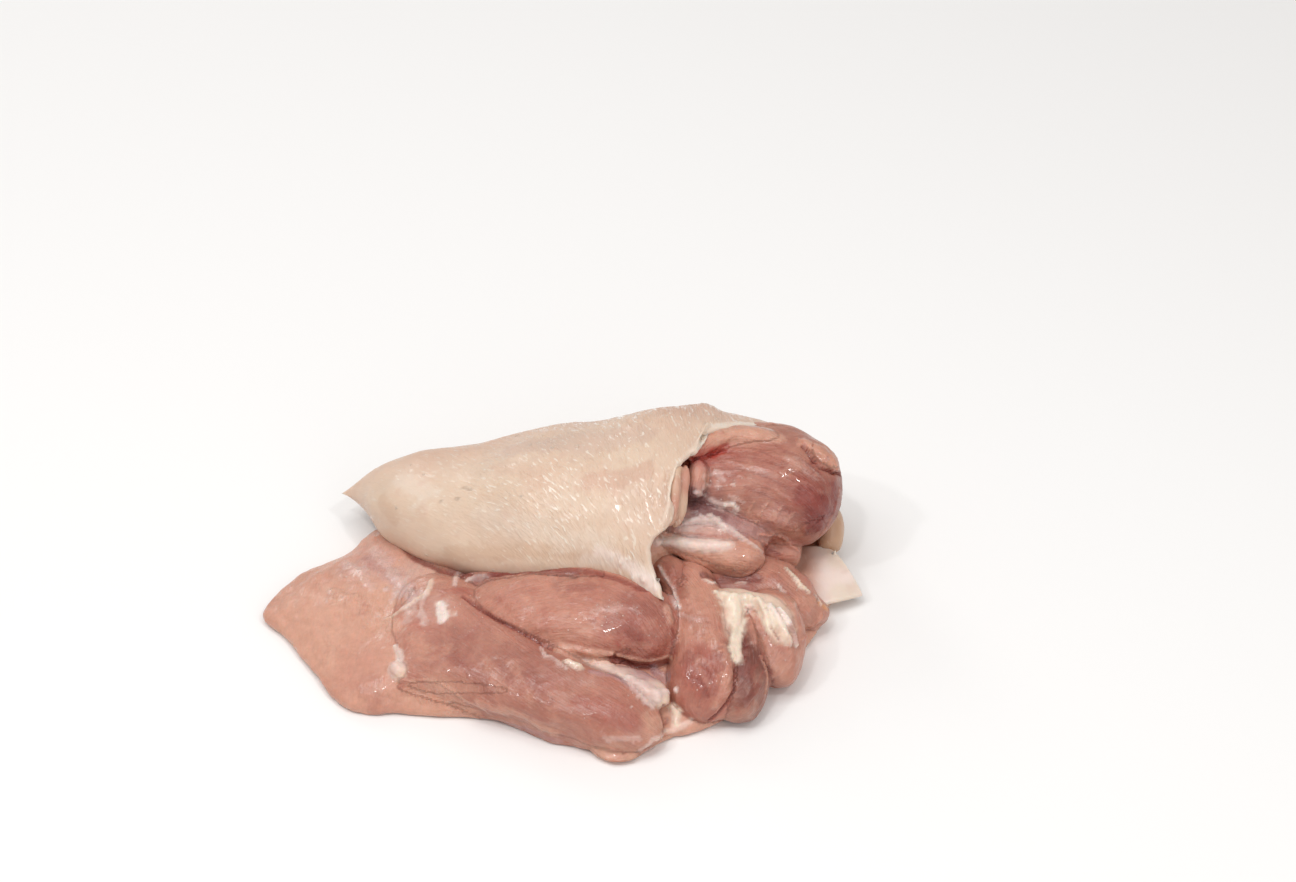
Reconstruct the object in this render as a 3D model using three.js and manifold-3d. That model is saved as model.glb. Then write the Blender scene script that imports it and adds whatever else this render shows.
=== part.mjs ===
// A raw boneless chicken thigh fillet with its skin on, folded once: the flesh side of the lower half
// faces up, and the far half is folded over it so that its skin lies on top.
// Millimetres, +Z up, +X along the fillet, -Y towards the open flesh. The origin is on the surface that
// the fillet lies on, in the middle of its footprint.
import * as THREE from "three";
import { mergeVertices } from "three/addons/utils/BufferGeometryUtils.js";
import Module from "manifold-3d";

const wasm = await Module();
wasm.setup();

// ---- Driving dimensions -------------------------------------------------------------------------
const SKIN = 1.9; // thickness of the skin with the fat under it
const GAP = 0.3; // clearance between the skin and the flesh, which are two solids
const UNDERSIDE = 1.8; // height of the skin that the fillet lies on
const MUSCLE_MESH = { sides: 16, rings: 15 }; // corners of a section, and sections along the muscle
const FAT_MESH = { sides: 10, rings: 9 };
const LOOSE_MESH = { sides: 14, rings: 12 };
const FOLD_MESH = { sides: 32, rings: 22 };
const ROUNDING = 0.16; // share of a muscle's length over which each end rounds off
const SQUARE_HEEL = 0.45; // 1 keeps the back of a standing section round, 0 makes it a square corner
const WOBBLE = 0.05; // how far a section departs from a true ellipse, as a share of its radius
const BIG = 400; // side of the blocks that trim the solids

const COLOURS = { flesh: 0xc08474, skin: 0xe6c9b2 };

// A station of a muscle is [x, y, z, half width, half height] of its section.
// The flesh that lies open at the front, named by what each bundle is.
const OPEN_MUSCLES = {
  longStrap: [
    [-41, -9.5, 5.5, 11, 3.8],
    [-31, -11, 6.5, 16.5, 6.2],
    [-16, -20.2, 7, 12.6, 7.6],
    [-1, -29.5, 6.5, 9.6, 7.8],
    [12, -35.5, 5.5, 8.2, 7],
    [24, -39.5, 4, 6.5, 4.5],
  ],
  middleLens: [
    [-22, -2.5, 11.5, 2.5, 2.5],
    [-11, -5.5, 11, 8.5, 7.5],
    [4, -9, 11.5, 12.5, 9.5],
    [17, -13, 12, 11, 9],
    [28, -18.5, 11, 6, 6],
  ],
  firstLobe: [
    [26, 6, 13, 4, 4],
    [30.5, -4, 12, 6, 6.5],
    [33, -15, 10.5, 7.5, 7.5],
    [33.5, -26, 7.5, 8.5, 7.5],
    [33, -35, 4, 6.5, 4.5],
  ],
  secondLobe: [
    [39, -4, 10, 5, 5],
    [42.5, -15, 9, 6.5, 7],
    [42.5, -25, 6.5, 7.5, 6.5],
    [38, -34, 3.5, 7.5, 4],
  ],
  thirdLobe: [
    [46, -1, 9, 6, 5],
    [48.5, -10, 8, 7.5, 7],
    [48.5, -17.5, 5, 7, 5.5],
    [46, -24, 3, 5.5, 3.5],
  ],
  rearSheet: [
    [26, 7, 9, 8, 7],
    [44, 5, 8, 10, 7.5],
    [56, 3.5, 6.5, 10, 5.5],
    [63, 2, 4, 6, 3],
  ],
};

// White fat between the muscles.
const FAT = {
  lobeFat: [
    [36, -6, 16, 3, 2.5],
    [39.5, -10, 15.5, 2.8, 2.8],
    [38.5, -17, 14, 2, 2.6],
    [38.5, -23, 11, 1.2, 2],
  ],
  crestFat: [
    [43, -8, 14.5, 2.5, 2.5],
    [46.5, -12, 14.5, 3.2, 2.6],
    [51, -17, 10.5, 2, 2],
  ],
  valleyFat: [
    [0, -21, 10.5, 3, 2.5],
    [8, -25, 9.5, 3.5, 2.6],
    [18, -29.5, 9.5, 4, 2.6],
    [25, -34, 8.5, 2.5, 2],
  ],
};

// What comes out of the fold at its right end.
const FOLDED_MUSCLES = {
  darkMuscle: [
    [16, 26, 21, 12, 11],
    [34, 26, 22.5, 13, 12],
    [48, 25, 22, 14, 12.6],
    [60, 23.5, 21, 12.5, 12],
    [67, 22.5, 20, 6.5, 7.5],
  ],
  darkMuscleRoot: [
    [14, 33, 13, 10, 12],
    [34, 34, 13, 9.5, 11.5],
    [50, 32, 12, 9, 10],
    [62, 27, 10, 7, 8],
  ],
  darkMuscleEnd: [
    [50, 28, 26, 5, 6],
    [58, 27, 25, 7, 7.5],
    [63, 26, 23, 4.5, 6],
  ],
  paleKnob: [
    [20, 7.5, 20, 3, 3],
    [31, 6, 19, 4.2, 4.4],
    [40, 5.5, 16.5, 5.8, 6],
    [48.5, 5.5, 15.5, 4.8, 5.2],
  ],
};

// The outside of the fold, skin and all, from its free lip at the left to its end behind the dark muscle.
const FOLD = [
  [-54, 36, 9, 1, 0.8],
  [-46, 34.5, 10.5, 7, 6],
  [-36, 30.5, 12.5, 13, 10.5],
  [-20, 25, 14.7, 18.5, 13.5],
  [-4, 21.8, 15.7, 22.5, 18],
  [11, 21, 15.5, 24, 21.5],
  [24, 21.5, 16, 24, 23.5],
  [36, 22.5, 16.2, 23.5, 22.5],
  [49, 23, 15, 21, 21],
  [61, 20, 11, 17, 15],
  [68, 18, 7, 8, 8],
];

// The pointed corner of skin that hangs down over the open flesh.
const SKIN_CORNER = [
  [12, 6, 23, 8, 3],
  [17.3, -1.2, 21.4, 7.6, 2.8],
  [21.5, -7, 21.3, 5, 1.9],
  [23, -10.5, 20.8, 2, 1.2],
  [23.8, -12.5, 20, 0.7, 0.6],
];

// The rolled-in lip of the skin beside the dark muscle.
const SKIN_LIP = [
  [31.8, 20, 37, 1.6, 1.6],
  [29.8, 12, 34, 2, 2],
  [27.6, 6, 29.3, 2, 2],
  [25.4, 2.8, 24.2, 1.3, 1.3],
];

// The corner of the underside's skin that lies out on the surface at the right.
const SKIN_FLAP = [
  [55, 12, 5, 8, 2],
  [63, 10, 6, 7, 1.8],
  [69, 7.5, 5, 3, 1.5],
  [71.5, 6.5, 4.2, 0.9, 0.9],
];

// Outline of the thin pale sheet of flesh at the left and under the muscles, seen from above.
const WING_OUTLINE = [
  [-70, 1.5],
  [-61.5, 12],
  [-51.5, 19],
  [-44, 28],
  [-28, 38],
  [20, 41],
  [58, 33],
  [61, 14],
  [61.5, 0],
  [54, -13],
  [45, -25],
  [37, -36],
  [22, -41.5],
  [1.5, -40.2],
  [-9.5, -34.6],
  [-17, -32.2],
  [-36, -31],
  [-49.5, -28],
  [-58.5, -15],
  [-65, -5],
];
const WING = { centre: [-14, -4], rim: 3.6, crown: 10 };

// Outline of the skin that the fillet lies on.
const UNDERSIDE_OUTLINE = [
  [-43, 33],
  [-35, 40],
  [-20, 42.6],
  [12, 44.5],
  [42, 43],
  [58, 36],
  [66, 22],
  [66, 10],
  [57, -2],
  [47, -16],
  [36, -30],
  [22, -40],
  [15.5, -45.5],
  [7, -41.5],
  [-4, -24],
  [-26, 6],
];

// The edge of the skin on top of the fold, seen from above: the flesh to its right and front lies bare.
const SKIN_EDGE = [
  [20, -60],
  [21, -8],
  [23, 0],
  [27, 8],
  [31, 17],
  [34.5, 27],
  [48, 37.5],
  [62, 41],
  [90, 43],
];
const BARE_ABOVE = 4; // height at which the bare part of the fold starts
const EDGE_OVERHANG = 2.5; // how far the skin's edge stands out over the flesh inside the fold

// ---- Shapes -------------------------------------------------------------------------------------

// A closed BufferGeometry as a solid that can be joined and cut.
function solid(geometry) {
  const bare = new THREE.BufferGeometry();
  bare.setAttribute("position", geometry.getAttribute("position"));
  bare.setIndex(geometry.getIndex());
  const merged = mergeVertices(bare, 1e-4);
  const mesh = new wasm.Mesh({
    numProp: 3,
    vertProperties: merged.getAttribute("position").array,
    triVerts: new Uint32Array(merged.getIndex().array),
  });
  return new wasm.Manifold(mesh);
}

// Closes rings of equal length into a body, with a point at each end.
function ringBody(first, rings, last) {
  const count = rings[0].length;
  const points = [first, ...rings.flat(), last];
  const faces = [];
  const at = (ring, i) => 1 + ring * count + (i % count);
  for (let i = 0; i < count; i += 1) {
    faces.push(0, at(0, i + 1), at(0, i));
    for (let ring = 0; ring + 1 < rings.length; ring += 1) {
      faces.push(at(ring, i), at(ring, i + 1), at(ring + 1, i));
      faces.push(at(ring, i + 1), at(ring + 1, i + 1), at(ring + 1, i));
    }
    faces.push(points.length - 1, at(rings.length - 1, i), at(rings.length - 1, i + 1));
  }
  const geometry = new THREE.BufferGeometry().setFromPoints(points);
  geometry.setIndex(faces);
  return geometry;
}

// A muscle: an uneven ellipse swept along its stations, rounded off at both ends.
// grow makes it fatter by that much all round. With standing, its back comes down square to the surface.
function muscle(stations, { sides, rings }, grow = 0, standing = false) {
  const centres = stations.map(([x, y, z]) => new THREE.Vector3(x, y, z));
  const girths = stations.map(([, , , wide, high]) => new THREE.Vector3(wide, high, 0));
  const line = new THREE.CatmullRomCurve3(centres, false, "catmullrom");
  const girth = new THREE.CatmullRomCurve3(girths, false, "catmullrom");
  const phase = centres[0].x + centres[0].y;
  const up = new THREE.Vector3(0, 0, 1);
  const sections = [];
  for (let k = 1; k < rings; k += 1) {
    const t = (1 - Math.cos((Math.PI * k) / rings)) / 2;
    const tangent = line.getTangent(t);
    const side = new THREE.Vector3().crossVectors(up, tangent).normalize();
    const rise = new THREE.Vector3().crossVectors(tangent, side);
    const fromEnd = Math.min(1, Math.min(t, 1 - t) / ROUNDING);
    const round = Math.sqrt(1 - (1 - fromEnd) ** 2);
    const { x: wide, y: high } = girth.getPoint(t);
    const centre = line.getPoint(t);
    const section = [];
    for (let i = 0; i < sides; i += 1) {
      const angle = (2 * Math.PI * i) / sides;
      const uneven = 1 + WOBBLE * Math.sin(3 * angle + 9 * t + phase) * Math.sin(7 * t + 2 * angle);
      let across = (wide * uneven * round + grow) * Math.cos(angle);
      let above = (high * uneven * round + grow) * Math.sin(angle);
      if (standing && across > 0 && above < 0) {
        const down = Math.max(high * round, Math.min(centre.z + 1, 2 * high * round));
        across = (wide * round + grow) * Math.cos(angle) ** SQUARE_HEEL;
        above = -down * (-Math.sin(angle)) ** SQUARE_HEEL;
      }
      section.push(centre.clone().addScaledVector(side, across).addScaledVector(rise, above));
    }
    sections.push(section);
  }
  const first = line.getPoint(0).addScaledVector(line.getTangent(0), -grow);
  const last = line.getPoint(1).addScaledVector(line.getTangent(1), grow);
  return solid(ringBody(first, sections, last));
}

// A pad on the surface: a smooth outline seen from above, low at its rim and highest at its centre.
function pad(outline, { centre, rim, crown }, grow = 0, sides = 72) {
  const corners = outline.map(([x, y]) => new THREE.Vector3(x, y, 0));
  const edge = new THREE.CatmullRomCurve3(corners, true, "catmullrom").getPoints(sides).slice(0, sides);
  const middle = new THREE.Vector3(centre[0], centre[1], 0);
  const ring = (share, height) =>
    edge.map((corner) => {
      const reach = corner.clone().sub(middle);
      const length = reach.length();
      return middle.clone().addScaledVector(reach, share + grow / length).setZ(height);
    });
  const top = rim + grow;
  const rise = crown - rim;
  const rings = [
    ring(0.5, -grow),
    ring(0.97, -grow),
    ring(1, top * 0.45),
    ring(0.965, top * 0.95),
    ring(0.86, top + rise * 0.35),
    ring(0.66, top + rise * 0.7),
    ring(0.34, top + rise * 0.94),
  ];
  const clockwise = THREE.ShapeUtils.area(edge) < 0;
  if (clockwise) rings.forEach((points) => points.reverse());
  const below = middle.clone().setZ(-grow);
  const above = middle.clone().setZ(top + rise);
  return solid(ringBody(below, rings, above));
}

// A straight-sided block over a smooth line that closes far away on the side of the open flesh.
function blockBesideEdge(line, low, high) {
  const path = new THREE.CatmullRomCurve3(
    line.map(([x, y]) => new THREE.Vector3(x, y, 0)),
    false,
    "catmullrom",
  ).getPoints(40);
  const shape = new THREE.Shape(path.map(({ x, y }) => new THREE.Vector2(x, y)));
  shape.lineTo(BIG / 2, -BIG / 2);
  shape.lineTo(line[0][0], -BIG / 2);
  const geometry = new THREE.ExtrudeGeometry(shape, { depth: high - low, bevelEnabled: false });
  geometry.translate(0, 0, low);
  return solid(geometry.index ? geometry : mergeVertices(geometry));
}

function join(solids) {
  return solids.reduce((whole, next) => whole.add(next));
}

// Everything above the surface that the fillet lies on.
function aboveSurface(whole) {
  const below = new THREE.BoxGeometry(BIG, BIG, BIG).translate(0, 0, -BIG / 2);
  return whole.subtract(solid(below));
}

// The largest body of a solid, without the scraps that cutting leaves.
function largest(whole) {
  return whole.decompose().reduce((best, next) => (next.volume() > best.volume() ? next : best));
}

// ---- The fillet ---------------------------------------------------------------------------------

// The folded-over half, skin and all, or what is left of it under a skin of that thickness.
function foldedHalf(under = 0) {
  const stations = under > 0 ? FOLD.slice(1) : FOLD;
  const thinned = stations.map(([x, y, z, wide, high]) => [x, y, z, wide - under, high - under]);
  return muscle(thinned, FOLD_MESH, 0, true);
}

// The flesh: the pad, the open muscles, the folded half under the skin, and what comes out of it.
function flesh(grow = 0) {
  const open = Object.values(OPEN_MUSCLES).map((stations) => muscle(stations, MUSCLE_MESH, grow));
  const folded = Object.values(FOLDED_MUSCLES).map((stations) => muscle(stations, MUSCLE_MESH, grow));
  const fat = Object.values(FAT).map((stations) => muscle(stations, FAT_MESH, grow));
  const bare = blockBesideEdge(SKIN_EDGE, BARE_ABOVE, BIG / 4).translate(-EDGE_OVERHANG, EDGE_OVERHANG, 0);
  const core = foldedHalf(SKIN - grow).subtract(bare);
  return join([pad(WING_OUTLINE, WING, grow), ...open, ...folded, ...fat, core]);
}

// The skin that the fillet lies on, and the same grown by the gap to cut its place out of the flesh.
function underside(grow = 0) {
  const flat = { centre: [18, 6], rim: UNDERSIDE, crown: UNDERSIDE };
  return pad(UNDERSIDE_OUTLINE, flat, grow);
}

// The skin: what lies between the outside of the fold and the flesh, and the underside.
function skin() {
  const bare = blockBesideEdge(SKIN_EDGE, BARE_ABOVE, BIG / 4);
  const loose = [SKIN_CORNER, SKIN_LIP, SKIN_FLAP].map((stations) => muscle(stations, LOOSE_MESH));
  const sheet = foldedHalf().subtract(foldedHalf(SKIN - GAP));
  const shell = join([sheet.subtract(bare), ...loose]);
  const draped = shell.subtract(flesh(GAP)).add(underside());
  return largest(aboveSurface(draped));
}

function mesh(name, whole, colour, roughness) {
  const { vertProperties, triVerts, numProp } = whole.getMesh();
  const points = [];
  for (let i = 0; i < vertProperties.length; i += numProp) {
    points.push(new THREE.Vector3(vertProperties[i], vertProperties[i + 1], vertProperties[i + 2]));
  }
  const geometry = new THREE.BufferGeometry().setFromPoints(points);
  geometry.setIndex(Array.from(triVerts));
  geometry.computeVertexNormals();
  const material = new THREE.MeshStandardMaterial({ color: colour, roughness, metalness: 0 });
  const made = new THREE.Mesh(geometry, material);
  made.name = name;
  return made;
}

const fillet = new THREE.Group();
fillet.add(mesh("flesh", largest(aboveSurface(flesh()).subtract(underside(GAP))), COLOURS.flesh, 0.35));
fillet.add(mesh("skin", skin(), COLOURS.skin, 0.45));

export default fillet;
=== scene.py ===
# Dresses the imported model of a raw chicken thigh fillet: its skin is on, and it is folded once, so that
# the open flesh of the lower half faces up and the skin of the far half lies on top.
import itertools

import bpy
import numpy as np
from bpy.props import FloatProperty, FloatVectorProperty, IntProperty, PointerProperty
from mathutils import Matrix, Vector


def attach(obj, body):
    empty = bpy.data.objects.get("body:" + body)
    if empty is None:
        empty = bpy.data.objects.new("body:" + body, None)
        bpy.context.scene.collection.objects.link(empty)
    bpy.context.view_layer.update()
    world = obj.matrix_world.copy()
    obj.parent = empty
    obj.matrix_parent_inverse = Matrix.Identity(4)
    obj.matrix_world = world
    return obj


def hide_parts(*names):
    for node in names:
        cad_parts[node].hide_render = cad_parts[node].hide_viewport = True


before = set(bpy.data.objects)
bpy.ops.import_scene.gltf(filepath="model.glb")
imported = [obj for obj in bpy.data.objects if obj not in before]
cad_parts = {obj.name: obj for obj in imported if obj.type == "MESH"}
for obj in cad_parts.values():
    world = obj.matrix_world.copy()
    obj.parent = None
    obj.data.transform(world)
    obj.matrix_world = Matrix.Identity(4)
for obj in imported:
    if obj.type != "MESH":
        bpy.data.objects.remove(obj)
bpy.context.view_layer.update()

bl_info = {
    "name": "Chicken Thigh Fillet",
    "version": (1, 0, 0),
    "blender": (4, 5, 0),
    "location": "View3D > Sidebar > Fillet",
    "description": "Raw chicken thigh fillet with its skin, open flesh, fat and sinew",
    "category": "Object",
}

MM = 0.001

# ---- Forms, in millimetres ------------------------------------------------------------------------
# A station is [x, y, z, half width, half height] of a section. Every bundle of flesh is
# (stations, colours at its start, middle and end).
OPEN_MUSCLES = {
    "long_strap": (
        [[-41, -9.5, 5.5, 11, 3.8], [-31, -11, 6.5, 16.5, 6.2], [-16, -20.2, 7, 12.6, 7.6],
         [-1, -29.5, 6.5, 9.6, 7.8], [12, -35.5, 5.5, 8.2, 7], [24, -39.5, 4, 6.5, 4.5]],
        ("salmon", "brick", "dusky")),
    "middle_lens": (
        [[-23, -3.6, 12, 3, 2.8], [-11, -6.7, 11.2, 9.4, 7.7], [4, -9.7, 11.6, 13, 9.5],
         [17, -13, 12, 11, 9], [28, -18.5, 11, 6, 6]],
        ("salmon", "salmon", "red")),
    "first_lobe": (
        [[26.5, 5, 14.6, 5, 4.4], [30.3, -3.6, 12.5, 6.4, 6.9], [33, -15, 10.5, 7.5, 7.5],
         [33.5, -26, 7.5, 8.5, 7.5], [33, -35, 4, 6.5, 4.5]],
        ("rose", "salmon", "red")),
    "inner_muscle": (
        [[21.5, 4, 14.6, 3, 3], [24.8, 1, 16.3, 3.8, 3.6], [27.2, -4, 16, 3.2, 3.2], [28.4, -9, 15, 2, 2]],
        ("brick", "salmon", "salmon")),
    "second_lobe": (
        [[40, -4, 10, 4, 4], [41.4, -15, 9, 5.2, 6.4], [41, -25, 6.5, 7.2, 6.6], [36.5, -33, 3.5, 7.2, 4]],
        ("red", "maroon", "maroon")),
    "third_lobe": (
        [[45.5, -1, 9, 6, 5], [48, -8.5, 9.4, 7.4, 7], [49, -14.8, 7.9, 7.3, 7.2],
         [48.5, -20.2, 5.9, 6.7, 5.9], [47.4, -23.9, 3.6, 4.4, 3.4]],
        ("rose", "salmon", "dusky")),
    "rear_sheet": (
        [[26, 7, 9, 8, 7], [44, 4, 8, 9, 7.5], [53.5, 0, 7.5, 7.5, 6], [58.5, -0.6, 5.5, 4.4, 4],
         [61.5, 1.6, 3.5, 2.2, 2]],
        ("red", "dusky", "salmon")),
    "fold_foot": (
        [[-26, 5, 9, 2, 2], [-18, 1.4, 12.8, 2.4, 2.4], [-9.6, -1.4, 16.4, 2.4, 2.4], [0, -3, 18.8, 2.4, 2.4],
         [7, -4.6, 19.6, 2, 2], [12, -6.5, 20, 1.2, 1.4]],
        ("plum", "dusky", "salmon")),
}
FOLDED_MUSCLES = {
    "dark_muscle": (
        [[16, 26, 21, 12, 11], [34, 26, 22.5, 13, 12], [48, 25, 22, 14, 12.4], [59, 23, 20.5, 12, 11.6],
         [66.2, 21.8, 19.5, 6.5, 7.5]],
        ("red", "brick", "deep red")),
    "dark_muscle_root": (
        [[14, 33, 13, 10, 12], [34, 34, 13, 9.5, 11.5], [50, 32, 12, 9, 10], [62, 27, 10, 7, 8]],
        ("dusky", "dusky", "dusky")),
    "dark_muscle_end": (
        [[52, 26, 27, 5, 5.6], [59, 25.2, 26.4, 6, 6.6], [63.4, 23.6, 24.8, 4.2, 5.4]],
        ("brick", "red", "salmon")),
    "pale_knob": (
        [[20, 7.8, 22.4, 1.8, 1.6], [26, 6.6, 21.6, 2.5, 2.3], [32.5, 6, 19.6, 4, 3.6],
         [40, 5.8, 17.4, 5.2, 4.6], [47.6, 6.2, 15.8, 4.2, 4]],
        ("pale", "pale", "rose")),
    "membrane_web": (
        [[22, 12, 24, 3, 5], [33, 11, 21.5, 3.6, 5.6], [42, 10.6, 19, 3.2, 4.6], [49, 10.6, 16, 2, 3]],
        ("plum", "lilac", "plum")),
    "knob_ridge": (
        [[23, 9, 23.6, 2, 2], [30, 8, 22.4, 2.8, 2.6], [38, 7.8, 20.8, 2.8, 2.8], [44, 8.2, 18.8, 2, 2.2]],
        ("lilac", "rose", "lilac")),
}
FAT = {
    "lobe_fat": (
        [[36, -6, 16, 3, 2.5], [39.5, -10, 15.5, 2.8, 2.8], [38.5, -17, 14, 2, 2.6], [38.5, -23, 11, 1.2, 2]],
        ("fat", "fat", "fat")),
    "crest_fat": (
        [[43, -6.5, 14.4, 2.4, 2.4], [47.5, -9.5, 15, 3.2, 2.8], [50.5, -13, 14, 3.4, 2.6],
         [52.6, -16.5, 11.4, 2.2, 2]],
        ("fat", "fat", "fat")),
    "fat_bridge": (
        [[38, -7, 15.2, 2.4, 2.4], [42, -7.6, 15.4, 2.6, 2.6], [46, -8.5, 15.2, 2.6, 2.4]],
        ("fat", "fat", "fat")),
    "valley_fat": (
        [[0, -21, 10.5, 3, 2.5], [8, -25, 9.5, 3.5, 2.6], [18, -29.5, 9.5, 4, 2.6], [25, -34, 8.5, 2.5, 2]],
        ("white", "white", "fat")),
}
# The folded-over half, skin and all, from its free lip at the left to its end behind the dark muscle.
FOLD = [
    [-54, 36, 9, 1, 0.8], [-46, 34.5, 10.5, 7, 6], [-36, 30.5, 12.5, 13, 10.5], [-20, 25, 14.7, 18.5, 13.5],
    [-4, 21.8, 15.7, 22.5, 18], [11, 21, 15.5, 24, 21.5], [24, 21.5, 16, 24, 23.5],
    [36, 22.5, 16.2, 23.5, 22.5], [49, 23, 15, 21, 21], [61, 20, 11, 17, 15], [68, 18, 7, 8, 8],
]
# The flesh inside the fold ends under the skin's right edge.
FOLD_CORE_END = [[23, 24.5, 15.5, 18.5, 18.5], [29, 26, 14, 11, 12]]
# Outline of the thin pale sheet of flesh at the left and under the muscles, seen from above.
WING_OUTLINE = [
    [-71, 2.4], [-63, 14.6], [-52.6, 22], [-45.4, 31.2], [-28, 38], [20, 41], [58, 33], [61, 14], [61.5, 0],
    [54, -13], [43.5, -25], [35.5, -33.5], [23, -37.8], [1.5, -39.4], [-9.5, -34.2], [-17, -31.8],
    [-36, -30.3], [-49.8, -28.3], [-58.6, -15.8], [-65.3, -5.2],
]
WING_CENTRE, WING_RIM, WING_CROWN = (-14, -4), 3.6, 10
# Section of such a pad, as [share of the way out, share of a height]: of the rim's height, from the middle of
# its underside up round the rim, then of the crown's rise above the rim.
PAD_RIM = [(0.5, 0), (0.85, 0), (0.97, 0), (0.992, 0.15), (1, 0.45), (0.992, 0.75), (0.965, 0.95)]
PAD_DOME = [(0.91, 0.2), (0.86, 0.35), (0.76, 0.55), (0.66, 0.7), (0.5, 0.85), (0.34, 0.94), (0.15, 0.99)]

# How square each bundle's section is, from 1 for an ellipse, and how far it rolls towards the front.
BUNDLE_SHAPES = {
    "long_strap": (0.72, 13), "middle_lens": (0.84, 8), "first_lobe": (0.8, 0), "second_lobe": (0.82, 0),
    "third_lobe": (0.85, 0), "rear_sheet": (0.8, 10), "dark_muscle": (0.8, 10), "pale_knob": (0.85, 0),
}
# Small raised parts that only the finished surface has.
OPEN_DETAILS = {
    "nodule": ([[-38.6, -21, 7.3, 1.2, 1.3], [-37.3, -22.8, 8.1, 1.8, 1.8], [-35.8, -24.6, 7.9, 1.3, 1.3]],
               ("white", "white", "fat")),
    "front_sheet": ([[7, -38.8, 2.2, 2.8, 1.8], [13, -42.6, 1.6, 3.4, 1.4], [18, -41.3, 1.8, 2.8, 1.5]],
                    ("pale", "pale", "pale")),
}
FOLDED_DETAILS = {
    "crevice_muscle": ([[30.4, 12, 29.4, 1.8, 2], [31.4, 14.4, 31.6, 2.4, 2.8], [32, 17.2, 33.6, 2.2, 2.6],
                         [32.2, 19.6, 34.6, 1.4, 1.6]],
                       ("lilac", "rose", "lilac")),
    "peach_rim": ([[28.5, 19.4, 36.4, 2.4, 2.4], [34, 24.4, 35.4, 2.8, 2.8], [40, 28, 34.2, 3.2, 3.2],
                   [47, 28.8, 33.2, 3, 3], [52, 27.8, 31.6, 2, 2.2]], ("pale", "pale", "blush")),
    # The cavity floor is coloured paler than the dark red flesh there: painted light against the cavity's
    # shade.
    "cavity_floor": ([[43, 13, 11.4, 3, 3], [49.5, 13, 11.2, 3.6, 3.6], [56.5, 13.4, 10.4, 3.6, 3.6]],
                     ("blush", "rose", "blush")),
}

# Local colour, and in two places painted light, noted below: [x, y, z, reach, colour, strength].
STAINS_AND_PAINTED_LIGHT = [
    # The first stain pales the joint as part of the painted highlight of its wet glint.
    [-28.5, -8.5, 12.8, 5.5, "sinew", 0.2], [-61, -2, 5, 11, "pale", 0.6], [-45, -22, 6, 12, "rose", 0.4],
    [-46, 14, 6.5, 12, "lilac", 0.3], [-24, 7, 9.5, 6, "lilac", 0.55], [-9, -5, 17, 7, "dusky", 0.5],
    [18.5, -22.5, 15, 8, "deep red", 0.55], [11, -12.5, 20.5, 7, "dusky", 0.5],
    [-26, -19, 13.5, 9, "brick", 0.5], [-40, -2, 9, 5, "pale", 0.6], [12, -38, 11, 10, "red", 0.3],
    [20, -28, 11.2, 5, "lilac", 0.8], [15, -23.2, 12, 3.4, "deep red", 0.9],
    [32, -27, 14, 8.5, "red", 0.75], [33, -9, 18.5, 8, "blush", 0.4], [27, -2, 17, 4, "red", 0.7],
    [36.5, -33, 10.5, 4, "salmon", 0.6], [51.5, -18, 9, 6, "dusky", 0.35], [47, -21, 12, 4, "salmon", 0.6],
    [33.5, 11.5, 28, 6, "dark lilac", 0.9], [36, 12, 22, 5, "lilac", 0.8],
    [31.5, 21, 35.6, 5, "blood", 0.9], [44, 28, 35.5, 9, "blush", 0.7], [61, 13, 26, 10, "deep red", 0.75],
    [62.5, 25, 31, 6, "blush", 0.75], [51, 13, 14, 6, "red", 0.9], [41, 0, 13.2, 6, "plum", 0.7],
    [50, 11, 24, 5, "lilac", 0.4], [58, 2, 10, 5, "rose", 0.5], [61, -1, 8, 4, "salmon", 0.4],
    # The stain at (-29, -32) is painted light that pales the shade under the strap's lower edge.
    [48, -26, 5, 6, "brick", 0.5], [22, -39, 6.5, 5, "rose", 0.5], [-29, -32, 4.5, 9, "pale", 0.6],
    [38, 20, 34, 6, "red", 0.5], [47, 20, 34, 9, "red", 0.3], [40, 2, 16, 5, "pale", 0.5],
    [42, -23, 12, 8, "maroon", 0.95], [20, -15, 19.5, 8, "brick", 0.8], [-34, -13, 12, 8, "rose", 0.5],
    [-35, 8, 10, 8, "sinew", 0.35], [22, -40, 6, 5, "pale", 0.5], [13, -43, 2, 6, "pale", 0.8],
    [-10, -28, 13, 9, "brick", 0.45], [66, 14, 20, 6, "deep red", 0.4],
]

# Where drops of moisture stand close together: [x, y, z, reach].
WET_SPOTS = [
    [-28, -9.5, 14.6, 3.2], [-50, 8, 8, 5], [-41, 12, 9, 4], [14, -16.5, 20.2, 5], [21, -17.5, 18.8, 4],
    [34, -3, 18, 2], [26.7, 3.1, 23.7, 1.8], [36.5, 3.1, 23.4, 1.6], [42, -0.8, 15, 2.4], [3, -25, 15, 2.6],
    [-21, 1, 15, 3], [40, 12, 28.6, 2.4], [35.6, 15, 31.8, 3.6], [48, 11.2, 26, 3.6], [30, 23, 35.5, 2],
    [17, -32, 13, 2.4], [54, 3, 15, 2.6], [60, 26, 34, 2.4],
]

# Where bundles pass into each other without a crease: [x, y, z, reach, passes of smoothing].
MERGES = [
    [50, 12, 13.5, 5, 24], [-38, -7, 8, 11, 60], [33, 10, 24, 7, 12], [45, 9, 19, 5, 10],
    [20, -40, 4, 6, 10], [34, -4, 15, 6, 12], [49, -14, 13, 4, 8], [58, -1, 8, 5, 14], [-14, -2, 15, 5, 10],
    [31.5, 15.5, 33.5, 4.5, 8], [60, 24.5, 32, 6, 10], [49, 26, 33.5, 7, 14],
]
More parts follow.
